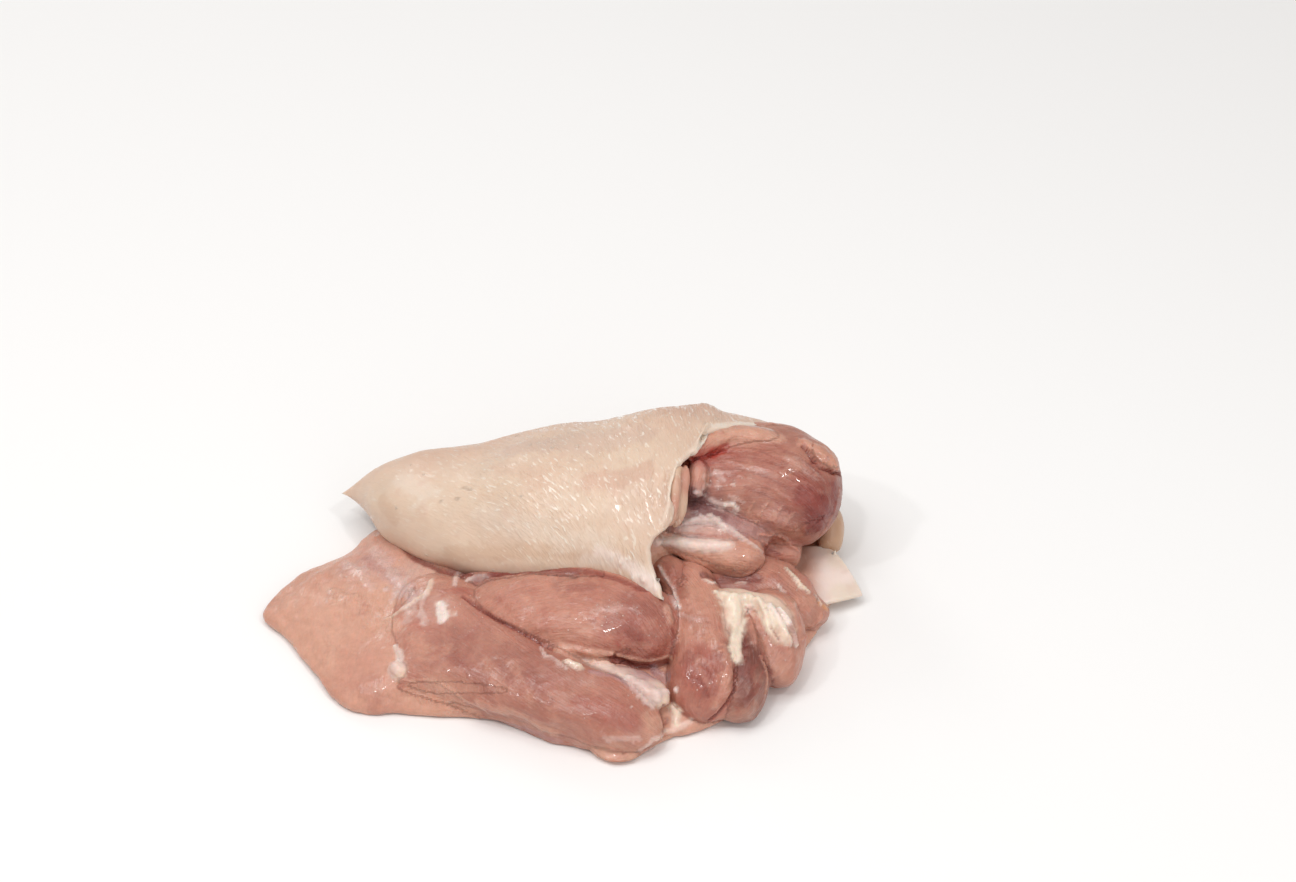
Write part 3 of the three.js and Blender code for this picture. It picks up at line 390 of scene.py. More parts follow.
FOLDED_STROKES = [
    ([[30.5, 18.4, 36, 0.73], [33.3, 20.7, 34.9, 0.73], [36.6, 22.8, 34.2, 0.59],
      [39.5, 23.2, 34.8, 0.39]], -0.9, "blood", 0.95, 0.2, 0.5),
    ([[35.2, 21.7, 35.5, 1.46], [38.5, 24, 35, 1.22]], -0.2, "blood", 0.7, 0.3, 0.3),
    ([[32.8, 20.8, 38.3, 1.22], [35.7, 23.7, 38.1, 1.71], [40.4, 26.4, 37.6, 1.95],
      [46.1, 27.7, 36.8, 1.95], [51.3, 27.5, 35, 1.71]], 0.2, "pale", 0.6, 0.4, 0.5),
    ([[39.5, 22.7, 34.7, 1.95], [45.3, 21.8, 34.5, 1.95]], 0, "red", 0.4, 0.4, 0.5),
    ([[39, 20.5, 34, 0.39], [45.7, 18.6, 33.9, 0.44], [52.7, 16, 31.9, 0.44], [59.3, 13.9, 29, 0.39]],
      0.12, "rose", 0.25, 0.5, 0.8),
    ([[49.3, 22.4, 34.5, 0.39], [56.1, 20, 33.6, 0.49], [59.6, 18.2, 31.4, 0.39]],
      0.12, "rose", 0.4, 0.5, 0.8),
    ([[50.9, 17.8, 33.4, 0.39], [56, 16.3, 31.6, 0.54], [61, 14.9, 29, 0.54]], 0.12, "rose", 0.25, 0.5, 0.9),
    ([[41.2, 16.6, 32.9, 0.37], [47.6, 14.9, 31.2, 0.44], [53.4, 12.6, 28.6, 0.39]],
      0.12, "rose", 0.4, 0.5, 0.8),
    ([[38.3, 23.8, 34.9, 0.37], [45.3, 23.3, 34.7, 0.41], [51.6, 20.2, 34.3, 0.39]],
      0.12, "rose", 0.4, 0.5, 0.8),
    ([[40.6, 18.7, 33.5, 0.39], [46.9, 16.7, 32.8, 0.44], [54.6, 14, 29.9, 0.39]],
      -0.15, "deep red", 0.35, 0.5, 0.5),
    ([[44.1, 21.3, 34.3, 0.39], [51.1, 18.7, 33.8, 0.44], [57.2, 16.6, 31.3, 0.39]],
      -0.15, "deep red", 0.35, 0.5, 0.5),
    ([[42.9, 14.3, 31.2, 0.39], [48.7, 13.3, 28.9, 0.44], [53.4, 11.2, 26.1, 0.39]],
      -0.15, "deep red", 0.3, 0.5, 0.5),
    # Painted glints: faint pale flecks, this stroke and the next.
    ([[33.3, 14.4, 34.6, 0.73], [36.1, 17, 32.8, 0.73], [38, 15.6, 32.2, 0.73]], 0.2, "sinew", 0.3, 0.9, 1),
    ([[33.7, 13.5, 32.3, 0.73], [36.6, 14.6, 31.2, 0.73]], 0.2, "sinew", 0.3, 0.9, 1),
    ([[57.4, 26.5, 35, 1.95], [61.2, 25.1, 34, 2.68], [64, 23.1, 32.3, 2.68], [65.2, 22.9, 29.3, 1.46]],
      0.8, "blush", 0.95, 0.4, 0.6),
    ([[55.3, 27.6, 34.6, 0.59], [57.4, 24.3, 33.8, 0.59], [58.7, 21.5, 32.6, 0.59]],
      -0.3, "red", 0.4, 0.6, 0.4),
    ([[56.7, 25.3, 34.2, 0.39], [58.8, 22.6, 32.8, 0.49], [60.6, 20.9, 31.2, 0.63],
      [63.5, 21.4, 29.1, 0.63], [66.7, 25.5, 25, 0.49]], -1.4, "deep red", 0.85, 0.4, 0.3),
    ([[55.4, 28.4, 34.6, 0.61], [56.2, 26, 34.8, 0.61]], 0.3, "blush", 0.5, 0.5, 0.8),
    ([[57.2, 13, 28.9, 2.93], [60.5, 12.4, 25, 3.41], [59.3, 12, 19.6, 2.68]], 0, "deep red", 0.8, 0.5, 0.3),
    ([[65.8, 20.2, 25.4, 0.54], [65, 16.7, 23.5, 0.59], [63.6, 14.8, 20.1, 0.59], [61.3, 13.7, 16, 0.54]],
      0.3, "rose", 0.5, 0.3, 0.7),
    ([[46.9, 11.1, 25.5, 1.71], [51.1, 10.3, 24.3, 2.2], [54, 10.9, 20.6, 2.2]], 0.2, "rose", 0.5, 0.5, 0.9),
    ([[43.6, 11.6, 25.7, 0.44], [45, 12.4, 28.2, 0.44]], 0.25, "pale", 0.3, 0.7, 1),
    ([[46, 11, 25, 0.49], [48, 12.3, 27.6, 0.49]], 0.25, "pale", 0.3, 0.7, 1),
    ([[48.8, 10.1, 24.2, 0.49], [51.3, 11.5, 27.1, 0.49]], 0.25, "pale", 0.3, 0.7, 1),
    ([[51.6, 10.1, 21.9, 0.54], [54.1, 11, 25.6, 0.54]], 0.25, "pale", 0.3, 0.7, 1),
    ([[46.5, 9, 21.1, 0.44], [50.1, 10.6, 18.9, 0.54], [53.7, 11.8, 14.9, 0.63], [56.1, 11.5, 13.4, 0.59]],
      0.5, "rose", 0.7, 0.3, 0.9),
    ([[48.5, 9.7, 16.5, 1.22], [50.9, 11.2, 13.8, 1.22]], -0.5, "red", 0.9, 0.4, 0.6),
    ([[46.9, 8.1, 19.7, 0.34], [49, 11.3, 14.7, 0.39], [51.9, 10.5, 13.5, 0.34]], 0.5, "rose", 0.6, 0.4, 0.7),
    ([[30.4, 11.4, 32.3, 1.46], [30.9, 10.8, 27.7, 1.46]], -0.2, "dark lilac", 0.8, 0.2, 0.8),
    ([[32.4, 13.3, 28, 1.71], [35.2, 11.5, 27.1, 1.95], [38, 10.8, 26.1, 1.46]],
      0, "dark lilac", 0.8, 0.3, 0.9),
    ([[31.6, 11.2, 32.4, 0.63], [34.7, 12.7, 28.5, 0.83], [38, 11.4, 27.5, 0.73]],
      0.35, "sinew", 0.5, 0.5, 1),
    ([[28.4, 7.5, 26, 0.63], [32.3, 8.3, 26.2, 0.88], [36.5, 8.5, 26.4, 1.12]], 0.7, "sinew", 0.8, 0.35, 0.9),
    ([[35.1, 9.2, 27.3, 0.63], [36.8, 8.3, 25.9, 0.83], [38.4, 7.2, 24.4, 0.63]], 0.5, "white", 0.75, 0.5, 1),
    ([[38, 8, 25.2, 0.73], [41.7, 6.9, 23, 0.68], [45, 5.5, 21.5, 0.63], [47.3, 4.8, 19.3, 0.54]],
      0.6, "sinew", 0.7, 0.35, 0.9),
    # Painted glints: a small white cluster on the lilac membrane, and a faint streak above it.
    ([[38.4, 11.6, 27.7, 0.63], [40.1, 11.7, 27.6, 0.73], [41.3, 11.6, 26, 0.59]], 0.5, "white", 0.8, 0.6, 1),
    ([[39.1, 12.7, 29.8, 0.49], [40.8, 12.4, 29.1, 0.59], [42.4, 12.2, 28, 0.49]],
      0.35, "sinew", 0.35, 0.6, 1),
    ([[22.8, 3.2, 23.7, 1.22], [26.7, 3.3, 23.6, 2.2], [32.3, 3.2, 23.4, 2.44], [37, 3.3, 23.3, 2.2],
      [39.8, 4.1, 23.1, 1.46]], 0.9, "white", 0.75, 0.15, 0.9),
    ([[28.1, 6.9, 25, 0.98], [32.3, 7.2, 24.7, 1.22], [36.6, 7, 23.9, 1.22]], 0.2, "sinew", 0.5, 0.4, 1),
    ([[28.6, 4.8, 24.4, 0.73], [33.3, 5.7, 23.6, 0.73], [37.9, 5.9, 23.1, 0.73]], 0, "lilac", 0.4, 0.4, 0.9),
    ([[32.3, 1.9, 19.1, 1.46], [37.5, 0.8, 18.5, 1.95], [42.6, 1.2, 19.5, 2.2]], 0, "blush", 0.6, 0.4, 0.6),
    ([[30, 2.3, 16.8, 0.49], [35.9, 1.9, 13.9, 0.49], [41.7, 1, 14.1, 0.49], [46.4, 3, 15.4, 0.49]],
      -0.6, "deep red", 0.5, 0.3, 0.4),
    ([[34.6, 31.8, 35, 0.61], [39.6, 32.9, 34.7, 0.63], [44.7, 30.3, 36.7, 0.63],
      [49.5, 30.6, 35.1, 0.54]], 0, "sinew", 0.8, 0.3, 0.6),
    ([[64, 18.4, 27.7, 1.46], [64.5, 16.8, 24.7, 1.71], [63.1, 14.2, 21.9, 1.71]],
      0, "deep red", 0.6, 0.6, 0.4),
    ([[30, 2.4, 20.3, 1.22], [35.8, 1.2, 18.2, 1.71], [41.7, 0.8, 18.6, 1.71]], 0, "blush", 0.5, 0.5, 0.6),
    ([[32.3, 6.7, 24.2, 1.22], [37.5, 6.1, 23.2, 1.46], [41.7, 3.6, 21.7, 1.22]], 0, "rose", 0.4, 0.4, 0.9),
    # Painted glints: fine pale streaks along the dark muscle, these four strokes.
    ([[33.5, 16.3, 35.4, 0.49], [37.5, 17.4, 33.1, 0.59], [41.7, 17.8, 33.3, 0.49]],
      0.08, "sinew", 0.2, 0.9, 1),
    ([[42.9, 18.9, 33.6, 0.44], [46.9, 17.3, 33.2, 0.44], [49.9, 16.5, 32.6, 0.44]],
      0.08, "sinew", 0.16, 0.9, 1),
    ([[52.6, 21, 34.5, 0.39], [56.3, 18.9, 33, 0.44], [60, 17.2, 30.8, 0.39]], 0.08, "sinew", 0.2, 0.8, 1),
    ([[54.7, 21.6, 34.4, 0.39], [58.7, 19.5, 32.4, 0.44], [62, 17.7, 29.6, 0.39]],
      0.08, "sinew", 0.2, 0.8, 1),
    ([[50.1, 25, 34.8, 0.34], [55.9, 21.3, 34, 0.44], [61, 19, 31, 0.34]], -0.1, "deep red", 0.35, 0.8, 0.4),
    ([[44.2, 24.3, 34.8, 0.34], [50, 21, 34.3, 0.44], [55.8, 17.6, 32.3, 0.34]],
      -0.1, "deep red", 0.35, 0.8, 0.4),
    ([[32.4, 12.9, 27.7, 1.46], [36.1, 10.7, 26.6, 1.71], [40.6, 9.8, 24.8, 1.71]],
      0, "plum", 0.35, 0.5, 0.8),
    ([[23.9, 3.1, 20.5, 1.22], [30, 2.3, 19.1, 1.46], [36.1, 1.1, 18, 1.46]], 0, "blush", 0.5, 0.5, 0.7),
    ([[50.6, 11.4, 17.1, 1.71], [53, 11.6, 14.3, 1.71]], 0, "blush", 0.5, 0.5, 0.5),
]

SKIN_STROKES = [
    ([[-12.4, 26.3, 32.6, 3.41], [-0.5, 24.6, 36.1, 4.88], [9, 23.3, 38.5, 4.88], [19.5, 22.8, 40.9, 3.9]],
      0, "grey flush", 0.45, 0.4),
    ([[-28.6, 16.8, 24.4, 0.39]], 0.3, "spot", 0.5, 0.4),
    ([[-24.7, 16.3, 25.8, 0.49]], 0.3, "spot", 0.55, 0.4),
    ([[-23.4, 19, 26.8, 0.59], [-21.6, 17.6, 27.5, 0.49]], -0.3, "spot", 0.3, 0.4),
    ([[-33.6, 23.3, 24.5, 0.98]], 0, "rose", 0.3, 0.4),
    # Tan along the fold's lower front: partly the skin's colour, partly painted shade where it curves under.
    ([[-26.4, 7.7, 16.1, 2.2], [-16.7, 3.7, 19.7, 2.2], [-4.9, 0.8, 23.8, 2.44], [6.8, -1.4, 25.2, 2.2]],
      0, "tan", 0.35, 0.5),
    ([[-43.6, 23.5, 18.5, 1.95], [-40.6, 18.6, 16.5, 1.95]], 0, "tan", 0.3, 0.5),
    ([[13.7, -4.4, 24.8, 0.98]], 0.8, "cream", 0.3, 0.2),
    ([[18.8, -8.6, 23.1, 1.1]], 0.9, "cream", 0.3, 0.2),
    ([[21.8, -10.4, 22.4, 0.73]], 0.6, "cream", 0.3, 0.2),
    ([[34.3, 27.7, 39.9, 0.73], [32.3, 21.5, 40.4, 0.73], [30.7, 17.1, 39.7, 0.73]],
      0.7, "cream", 0.4, 0.2),
    ([[26.7, 12.1, 39.8, 0.73], [25.5, 7.7, 37.9, 0.83], [25, 3.8, 35.2, 0.83], [23.9, 0.2, 32.6, 0.73]],
      0.5, "skin fat", 0.5, 0.2),
    ([[6.7, 11.8, 35.7, 3.41], [13.7, 10.3, 37.1, 3.41], [19.5, 11.9, 38.7, 2.93]],
      0, "flush", 0.7, 0.5),
    ([[-14.6, 20.6, 32.4, 2.44], [-5, 13.2, 34.4, 2.44]], 0, "flush", 0.3, 0.5),
    ([[24.8, 11.6, 39, 0.59], [24.1, 7.6, 37.1, 0.68], [23.9, 3.8, 34.9, 0.63]],
      -0.5, "flush", 0.25, 0.4),
    ([[21.1, 15.8, 39.9, 0.59], [20.7, 9.5, 37.8, 0.68], [21.1, 4.2, 34.9, 0.63]],
      -0.4, "flush", 0.2, 0.5),
    ([[-19.1, 10.7, 25.6, 2.93], [-11.9, 6.2, 26.6, 3.41], [-3.7, 2.6, 26.8, 2.93]],
      0, "skin fat", 0.35, 0.5),
    ([[-38.8, 26.1, 22.6, 2.93], [-32.5, 20.2, 24.1, 3.41]], 0, "skin fat", 0.5, 0.5),
    # Whiter tip: partly the skin's own paler fat, partly painted light where the tip lies in shade.
    ([[9.1, -1.8, 25.6, 2.2], [14.9, -4.4, 24.8, 2.2], [18.4, -7.3, 23.5, 2.2], [21.1, -10.4, 21.7, 1.95]],
      0, "white", 0.75, 0.4),
    ([[-0.2, 0.4, 25.7, 2.93], [9.1, -0.3, 28, 2.93]], 0, "skin fat", 0.4, 0.4),
    ([[5.6, -1.9, 23.1, 1.95], [11.4, -3.4, 23.9, 1.95]], 0, "skin fat", 0.7, 0.4),
    # Painted highlights: small white dots on the tip's bumps, these three strokes.
    ([[16.5, -7.2, 22.7, 0.73]], 0.55, "white", 0.5, 0.2),
    ([[21.8, -9, 23.5, 0.73]], 0.5, "white", 0.5, 0.2),
    ([[11.9, -3.1, 25.5, 0.73]], 0.4, "white", 0.4, 0.2),
    # Painted light: whitens the tip where it lies in shade.
    ([[18.4, -7.1, 23.6, 1.95], [21.8, -9.5, 23, 1.95]], 0, "white", 0.9, 0.3),
    ([[18.4, -5.9, 25, 1.46], [21.1, -7.3, 24.4, 1.22]], 0, "skin fat", 0.5, 0.3),
]

# What each colour name means on the screen, in sRGB from 0 to 255.
SHADES = {
    "pale": (212, 162, 140), "blush": (203, 148, 126), "rose": (197, 137, 119), "salmon": (187, 125, 107),
    "dusky": (174, 114, 98), "brick": (154, 92, 79), "maroon": (108, 52, 44), "red": (162, 86, 74),
    "deep red": (130, 52, 44), "blood": (178, 60, 48), "plum": (132, 80, 76), "lilac": (176, 134, 135),
    # The sinew colour serves real sinew, and also painted sheen and glints laid in strokes.
    "dark lilac": (128, 86, 84), "sinew": (226, 203, 195), "fat": (236, 217, 197), "white": (238, 220, 210),
    "orange fat": (216, 152, 104), "cream": (221, 196, 174), "flush": (210, 173, 152),
    "tan": (199, 160, 130), "grey flush": (202, 172, 157), "spot": (150, 122, 104),
    "skin fat": (231, 214, 198),
}
FATTY = ("fat", "white", "sinew", "orange fat")

# Where the skin's right edge lies: the angle round the fold, in degrees from the back over the top to the
# front and under it, and how far along X the skin reaches there.
SKIN_REACH = [[-75, 62], [0, 62], [30, 61], [42, 58], [55, 53], [62, 48.5], [70, 42.5], [78, 37.8],
              [85, 34.4], [93, 32.2], [100, 30.6], [109, 28.2], [115, 26.8], [121, 26], [128, 25.8],
              [134, 26.2], [139.5, 26], [143, 24.6], [147, 21.8], [152, 20.6], [158, 21], [166, 22.2],
              [176, 23.3], [240, 22]]
SKIN_BACK_ANGLE, SKIN_FRONT_ANGLE, SKIN_CORNER_ANGLE = -70, 232, 176
# The skin's front corner, how far from it the skin is drawn along, and how far fat lifts the top of the fold.
SKIN_TIP, SKIN_TIP_PULL, SKIN_RISE = (23.6, -12.4, 20.2), 19, 1.8
# Places along X, and the angle in degrees at which the wrinkles lie there. Their pattern is counted from
# WRINKLE_START, as X and as depth plus WRINKLE_RISE times height.
WRINKLE_PLACES, WRINKLE_ANGLES = [-50, -12, 8, 24], [-18, -32, -50, -64]
WRINKLE_START, WRINKLE_RISE = (15, 33), 0.75
# The rolled lip behind the skin's right edge: two ridges side by side.
SKIN_LIPS = [
    [[29, 15.8, 37, 0.8, 0.8], [28.7, 13.4, 36.4, 1.3, 1.3], [28.4, 10.8, 35, 1.5, 1.4],
     [28.1, 8.4, 33, 1.5, 1.4], [27.6, 6.4, 30.8, 1.4, 1.3], [26.8, 5.3, 28.6, 1.1, 1.2],
     [25.8, 5, 27, 0.7, 0.7]],
    [[28.2, 14, 38.2, 0.8, 0.8], [26.9, 11.8, 38.1, 1.2, 1.1], [26.6, 9.4, 36.9, 1.4, 1.3],
     [26.4, 7, 35.1, 1.4, 1.3], [26.2, 4.9, 33.2, 1.2, 1.2], [25.6, 3.5, 31, 1, 1.1],
     [24.4, 2.8, 29.4, 0.6, 0.6]],
]
# Where the skin bulges below the end of the dark muscle.
SKIN_BULGE = [[56, 32, 9, 5, 7], [61.2, 28, 9, 4.6, 5.6], [64.2, 24, 7.4, 3.2, 4.2], [63.4, 19.5, 6, 2.4, 3]]
UNDERSIDE_OUTLINE = [
    [-43, 33], [-35, 40], [-20, 42.6], [12, 44.5], [42, 43], [58, 36], [66, 22], [66, 10], [57, -2],
    [47, -16], [36, -30], [22, -39.5], [15.5, -44.4], [7, -41], [-4, -24], [-26, 6],
]
UNDERSIDE_CENTRE, UNDERSIDE_HEIGHT = (18, 6), 1.8
# Control net of the corner of skin that lies out at the right: rows run from the fillet outwards.
FLAP_NET = [
    [(50, 20, 3), (52, 14, 4), (54, 8, 4), (56, 2, 3)],
    [(57, 22, 6), (59, 16, 6.5), (61, 9, 6.2), (60, 2.6, 4.5)],
    [(63, 21, 7), (65.5, 16.5, 7), (68, 11, 6), (64.5, 2.8, 4.2)],
    [(65, 18, 6.5), (67.5, 15, 6), (70, 11, 5), (71.2, 6.6, 3.8)],
]


# ---- Settings -------------------------------------------------------------------------------------
class FilletShape(bpy.types.PropertyGroup):
    voxel: FloatProperty(name="Detail", description="Size of the finest lump that the flesh keeps",
                         default=0.00052, unit="LENGTH", precision=5)
    lumps: FloatProperty(name="Lumps", description="Height of the soft lumps of the flesh",
                         default=0.00045, unit="LENGTH", precision=5)
    fibres: FloatProperty(name="Fibres", description="Height of the bundles of fibre in the flesh",
                          default=0.00016, unit="LENGTH", precision=5)
    skin: FloatProperty(name="Skin", description="Thickness of the skin with the fat under it",
                        default=0.0019, unit="LENGTH", precision=5)
    wrinkles: FloatProperty(name="Wrinkles", description="Height of the wrinkles in the skin",
                            default=0.00016, unit="LENGTH", precision=5)


class FilletFinish(bpy.types.PropertyGroup):
    brightness: FloatProperty(name="Brightness", description="Factor on all the colours of the fillet",
                              default=1.0, min=0.5, max=1.5, subtype="FACTOR")
    wetness: FloatProperty(name="Wetness", description="How much of the surface a film of moisture covers",
                           default=1.0, min=0, max=1.3, subtype="FACTOR")


class FilletScatter(bpy.types.PropertyGroup):
    pore_spacing: FloatProperty(name="Pore Spacing", description="Least distance between feather pores",
                                default=0.0048, unit="LENGTH", precision=4)
    pore_size: FloatProperty(name="Pore Size", description="Radius of a feather pore's mound",
                             default=0.0006, unit="LENGTH", precision=5)
    drop_size: FloatProperty(name="Drop Size", description="Radius of a drop of moisture",
                             default=0.00028, unit="LENGTH", precision=5)
    drop_spacing: FloatProperty(name="Drop Spacing", description="Least distance between drops",
                                default=0.0012, unit="LENGTH", precision=4)
    seed: IntProperty(name="Seed", description="Seed of what is scattered", default=7)


class FilletStage(bpy.types.PropertyGroup):
    floor: FloatVectorProperty(name="Floor", description="Colour of the table", subtype="COLOR_GAMMA",
                               size=3, min=0, max=1, default=(0.965, 0.96, 0.955))
    sparkle: FloatProperty(name="Sparkle Light", description="Power of each small light that makes glints",
                           default=0.8, unit="POWER")
    key: FloatProperty(name="Key Light", description="Power of the overhead softbox", default=2.6,
                       unit="POWER")
    fill: FloatProperty(name="Fill Light", description="Power of the front softbox", default=1.4,
                        unit="POWER")
    sky: FloatProperty(name="Sky", description="Strength of the light from all round", default=0.42,
                       min=0)


SETTINGS = {"fillet_shape": FilletShape, "fillet_finish": FilletFinish, "fillet_scatter": FilletScatter,
            "fillet_stage": FilletStage}


# ---- Colours and soft random patterns ---------------------------------------------------------------
def linear(colour):
    """An sRGB colour from 0 to 1 as linear light."""
    colour = np.asarray(colour, dtype=float)
    return np.where(colour <= 0.04045, colour / 12.92, ((colour + 0.055) / 1.055) ** 2.4)


def shade(name):
    return linear(np.array(SHADES[name]) / 255)


def smooth(value):
    """An S curve from 0 to 1."""
    value = np.clip(value, 0, 1)
    return value * value * (3 - 2 * value)


def soft_noise(points, size, seed=0):
    """Soft random hills from -1 to 1, about that size, at each point."""
    cells = np.asarray(points, dtype=float) / size + 31.7 * (seed + 1)
    base = np.floor(cells).astype(np.int64)
    part = cells - base
    part = part * part * (3 - 2 * part)
    total = np.zeros(len(cells))
    for corner in itertools.product((0, 1), repeat=3):
        grid = base + corner
        code = (grid[:, 0] * 73856093 ^ grid[:, 1] * 19349663 ^ grid[:, 2] * 83492791) & 0xFFFFFFFF
        code = ((code ^ (code >> 13)) * 1274126177) & 0xFFFFFFFF
        height = ((code ^ (code >> 16)) & 0xFFFF) / 32767.5 - 1
        share = np.prod(np.where(corner, part, 1 - part), axis=1)
        total += share * height
    return total


def soft_hills(points, *layers):
    """Soft noise in layers of (size, height, seed)."""
    return sum(height * soft_noise(points, size, seed) for size, height, seed in layers)


# ---- Shapes -----------------------------------------------------------------------------------------
def through_knots(a, b, c, d, f):
    """A smooth line through four knots, at a share f of the way from b to c."""
    return 0.5 * (2 * b + (c - a) * f + (2 * a - 5 * b + 4 * c - d) * f**2
                  + (3 * b - 3 * c + d - a) * f**3)


class Sweep:
    """An uneven ellipse swept along stations and rounded off at both ends, in millimetres."""

    ROUNDING = 0.16  # share of the length over which each end is rounded off
    LEAST_END = 0.12  # least size that a rounded end counts as, where a point is located beside it
    WOBBLE = 0.05  # how uneven the section is, as a share of its size
    HEEL = 0.45  # how square the foot of a standing section is
    SAMPLES, SEARCHES = 90, 2  # places that a point is compared with, and steps of the search from there
    AXIS_STEP, SEARCH_STEP = 1e-4, 1e-3
    END = 0.01  # share of the length that counts as the very end

    def __init__(self, stations, thinner=0.0, standing=False, square=1.0, roll=0.0):
        knots = np.array(stations, dtype=float)
        self.square, self.roll = square, np.radians(roll)
        knots[:, 3:] -= thinner
        self.knots = np.vstack([2 * knots[0] - knots[1], knots, 2 * knots[-1] - knots[-2]])
        self.phase = knots[0, 0] + knots[0, 1]
        self.standing = standing
        self.length = np.linalg.norm(np.diff(knots[:, :3], axis=0), axis=1).sum()

    def station(self, t):
        """Centre and half sizes at t, from 0 to 1."""
        spans = len(self.knots) - 3
        place = np.clip(t, 0, 1) * spans
        span = np.minimum(place.astype(int), spans - 1)
        f = (place - span)[..., None]
        return through_knots(*(self.knots[span + k] for k in range(4)), f)

    def axes(self, t):
        """Unit vectors along the sweep, to its side and upwards."""
        along = (self.station(t + self.AXIS_STEP) - self.station(t - self.AXIS_STEP))[..., :3]
        along /= np.linalg.norm(along, axis=-1, keepdims=True)
        side = np.cross([0.0, 0.0, 1.0], along)
        side /= np.linalg.norm(side, axis=-1, keepdims=True)
        rise = np.cross(along, side)
        cos, sin = np.cos(self.roll), np.sin(self.roll)
        return along, side * cos + rise * sin, rise * cos - side * sin

    def rounded(self, t):
        """Share of its full size that the section has at t."""
        from_end = np.minimum(1, np.minimum(t, 1 - t) / self.ROUNDING)
        return np.sqrt(np.maximum(0, 1 - (1 - from_end) ** 2))

    def point(self, t, angle):
        """Points of the surface at t and at an angle in radians: 0 at the side, a quarter turn on top."""
        t, angle = np.broadcast_arrays(np.asarray(t, float), np.asarray(angle, float))
        at = self.station(t)
        _, side, rise = self.axes(t)
        cos, sin, rounded = np.cos(angle), np.sin(angle), self.rounded(t)
        cos = np.sign(cos) * np.abs(cos) ** self.square
        sin = np.sign(sin) * np.abs(sin) ** self.square
        wobble = np.sin(3 * angle + 9 * t + self.phase) * np.sin(7 * t + 2 * angle)
        uneven = 1 + self.WOBBLE * wobble
        across = at[..., 3] * uneven * rounded * cos
        above = at[..., 4] * uneven * rounded * sin
        if self.standing:
            heel = (cos > 0) & (sin < 0)
            down = np.maximum(at[..., 4] * rounded, np.minimum(at[..., 2] + 1, 2 * at[..., 4] * rounded))
            across = np.where(heel, at[..., 3] * rounded * np.abs(cos) ** self.HEEL, across)
            above = np.where(heel, -down * np.abs(sin) ** self.HEEL, above)
        return at[..., :3] + side * across[..., None] + rise * above[..., None]

    def solid(self, rings=56, sides=44):
        """A closed mesh as points and faces."""
        t = (1 - np.cos(np.pi * np.arange(1, rings) / rings)) / 2
        angle = 2 * np.pi * np.arange(sides) / sides
        ends = self.station(np.array([0.0, 1.0]))[:, :3]
        return closed_rings(ends[0], self.point(t[:, None], angle[None, :]), ends[1])

    def locate(self, points):
        """Where points lie beside the sweep: t, angle, and distance from its surface."""
        samples = (np.arange(self.SAMPLES) + 0.5) / self.SAMPLES
        centres = self.station(samples)[:, :3]
        near = (centres**2).sum(1)[None, :] - 2 * points @ centres.T
        t = samples[near.argmin(1)]
        for _ in range(self.SEARCHES):
            step = (self.station(t + self.SEARCH_STEP) - self.station(t - self.SEARCH_STEP))[:, :3]
            step /= 2 * self.SEARCH_STEP
            shift = ((points - self.station(t)[:, :3]) * step).sum(1) / (step**2).sum(1)
            t = np.clip(t + shift, 0.002, 0.998)
        at = self.station(t)
        along, side, rise = self.axes(t)
        offset = points - at[:, :3]
        across, above = (offset * side).sum(1), (offset * rise).sum(1)
        rounded = np.maximum(self.rounded(t), self.LEAST_END)
        power = 2 / self.square
        ratio = (np.abs(across / (at[:, 3] * rounded)) ** power
                 + np.abs(above / (at[:, 4] * rounded)) ** power) ** (1 / power) + 1e-6
        radius = np.hypot(across, above)
        angle = np.arctan2(above / at[:, 4], across / at[:, 3])
        distance = radius * (1 - 1 / ratio)
        past = np.abs((offset * along).sum(1))
        at_end = (t < self.END) | (t > 1 - self.END)
        return t, angle, np.hypot(distance, np.where(at_end, past, 0))


def closed_rings(first, rings, last):
    """Rings of equal length closed with a point at each end."""
    ring_count, side_count = rings.shape[:2]
    points = np.vstack([first, rings.reshape(-1, 3), last])
    index = 1 + np.arange(ring_count * side_count).reshape(ring_count, side_count)
    turned = np.roll(index, -1, axis=1)
    quads = np.stack([index[:-1], turned[:-1], turned[1:], index[1:]], axis=-1).reshape(-1, 4)
    cap = [(0, int(b), int(a)) for a, b in zip(index[0], turned[0])]
    end = len(points) - 1
    cap += [(end, int(a), int(b)) for a, b in zip(index[-1], turned[-1])]
    return points, [tuple(quad) for quad in quads.tolist()] + cap


def smooth_outline(corners, count):
    """A closed smooth line through corners, seen from above."""
    corners = np.array(corners, dtype=float)
    place = np.arange(count) / count * len(corners)
    k = place.astype(int)
    f = (place - k)[:, None]
    return through_knots(*(corners[(k + step) % len(corners)] for step in (-1, 0, 1, 2)), f)


def pad(outline, centre, rim, crown, sides=260):
    """A low dome on the table inside an outline."""
    edge = smooth_outline(outline, sides)
    area = np.cross(edge, np.roll(edge, -1, axis=0)).sum()
    if area < 0:
        edge = edge[::-1]
    centre = np.array(centre, dtype=float)
    profile = [(share, rim * part) for share, part in PAD_RIM]
    profile += [(share, rim + (crown - rim) * part) for share, part in PAD_DOME]
    rings = np.array([np.column_stack([centre + (edge - centre) * share, np.full(sides, height)])
                      for share, height in profile])
    return closed_rings(np.append(centre, 0.0), rings, np.append(centre, crown))


def joined(parts):
    """Several meshes of points and faces as one."""
    points, faces, start = [], [], 0
    for part_points, part_faces in parts:
        points.append(part_points)
        faces += [tuple(start + i for i in face) for face in part_faces]
        start += len(part_points)
    return np.vstack(points), faces


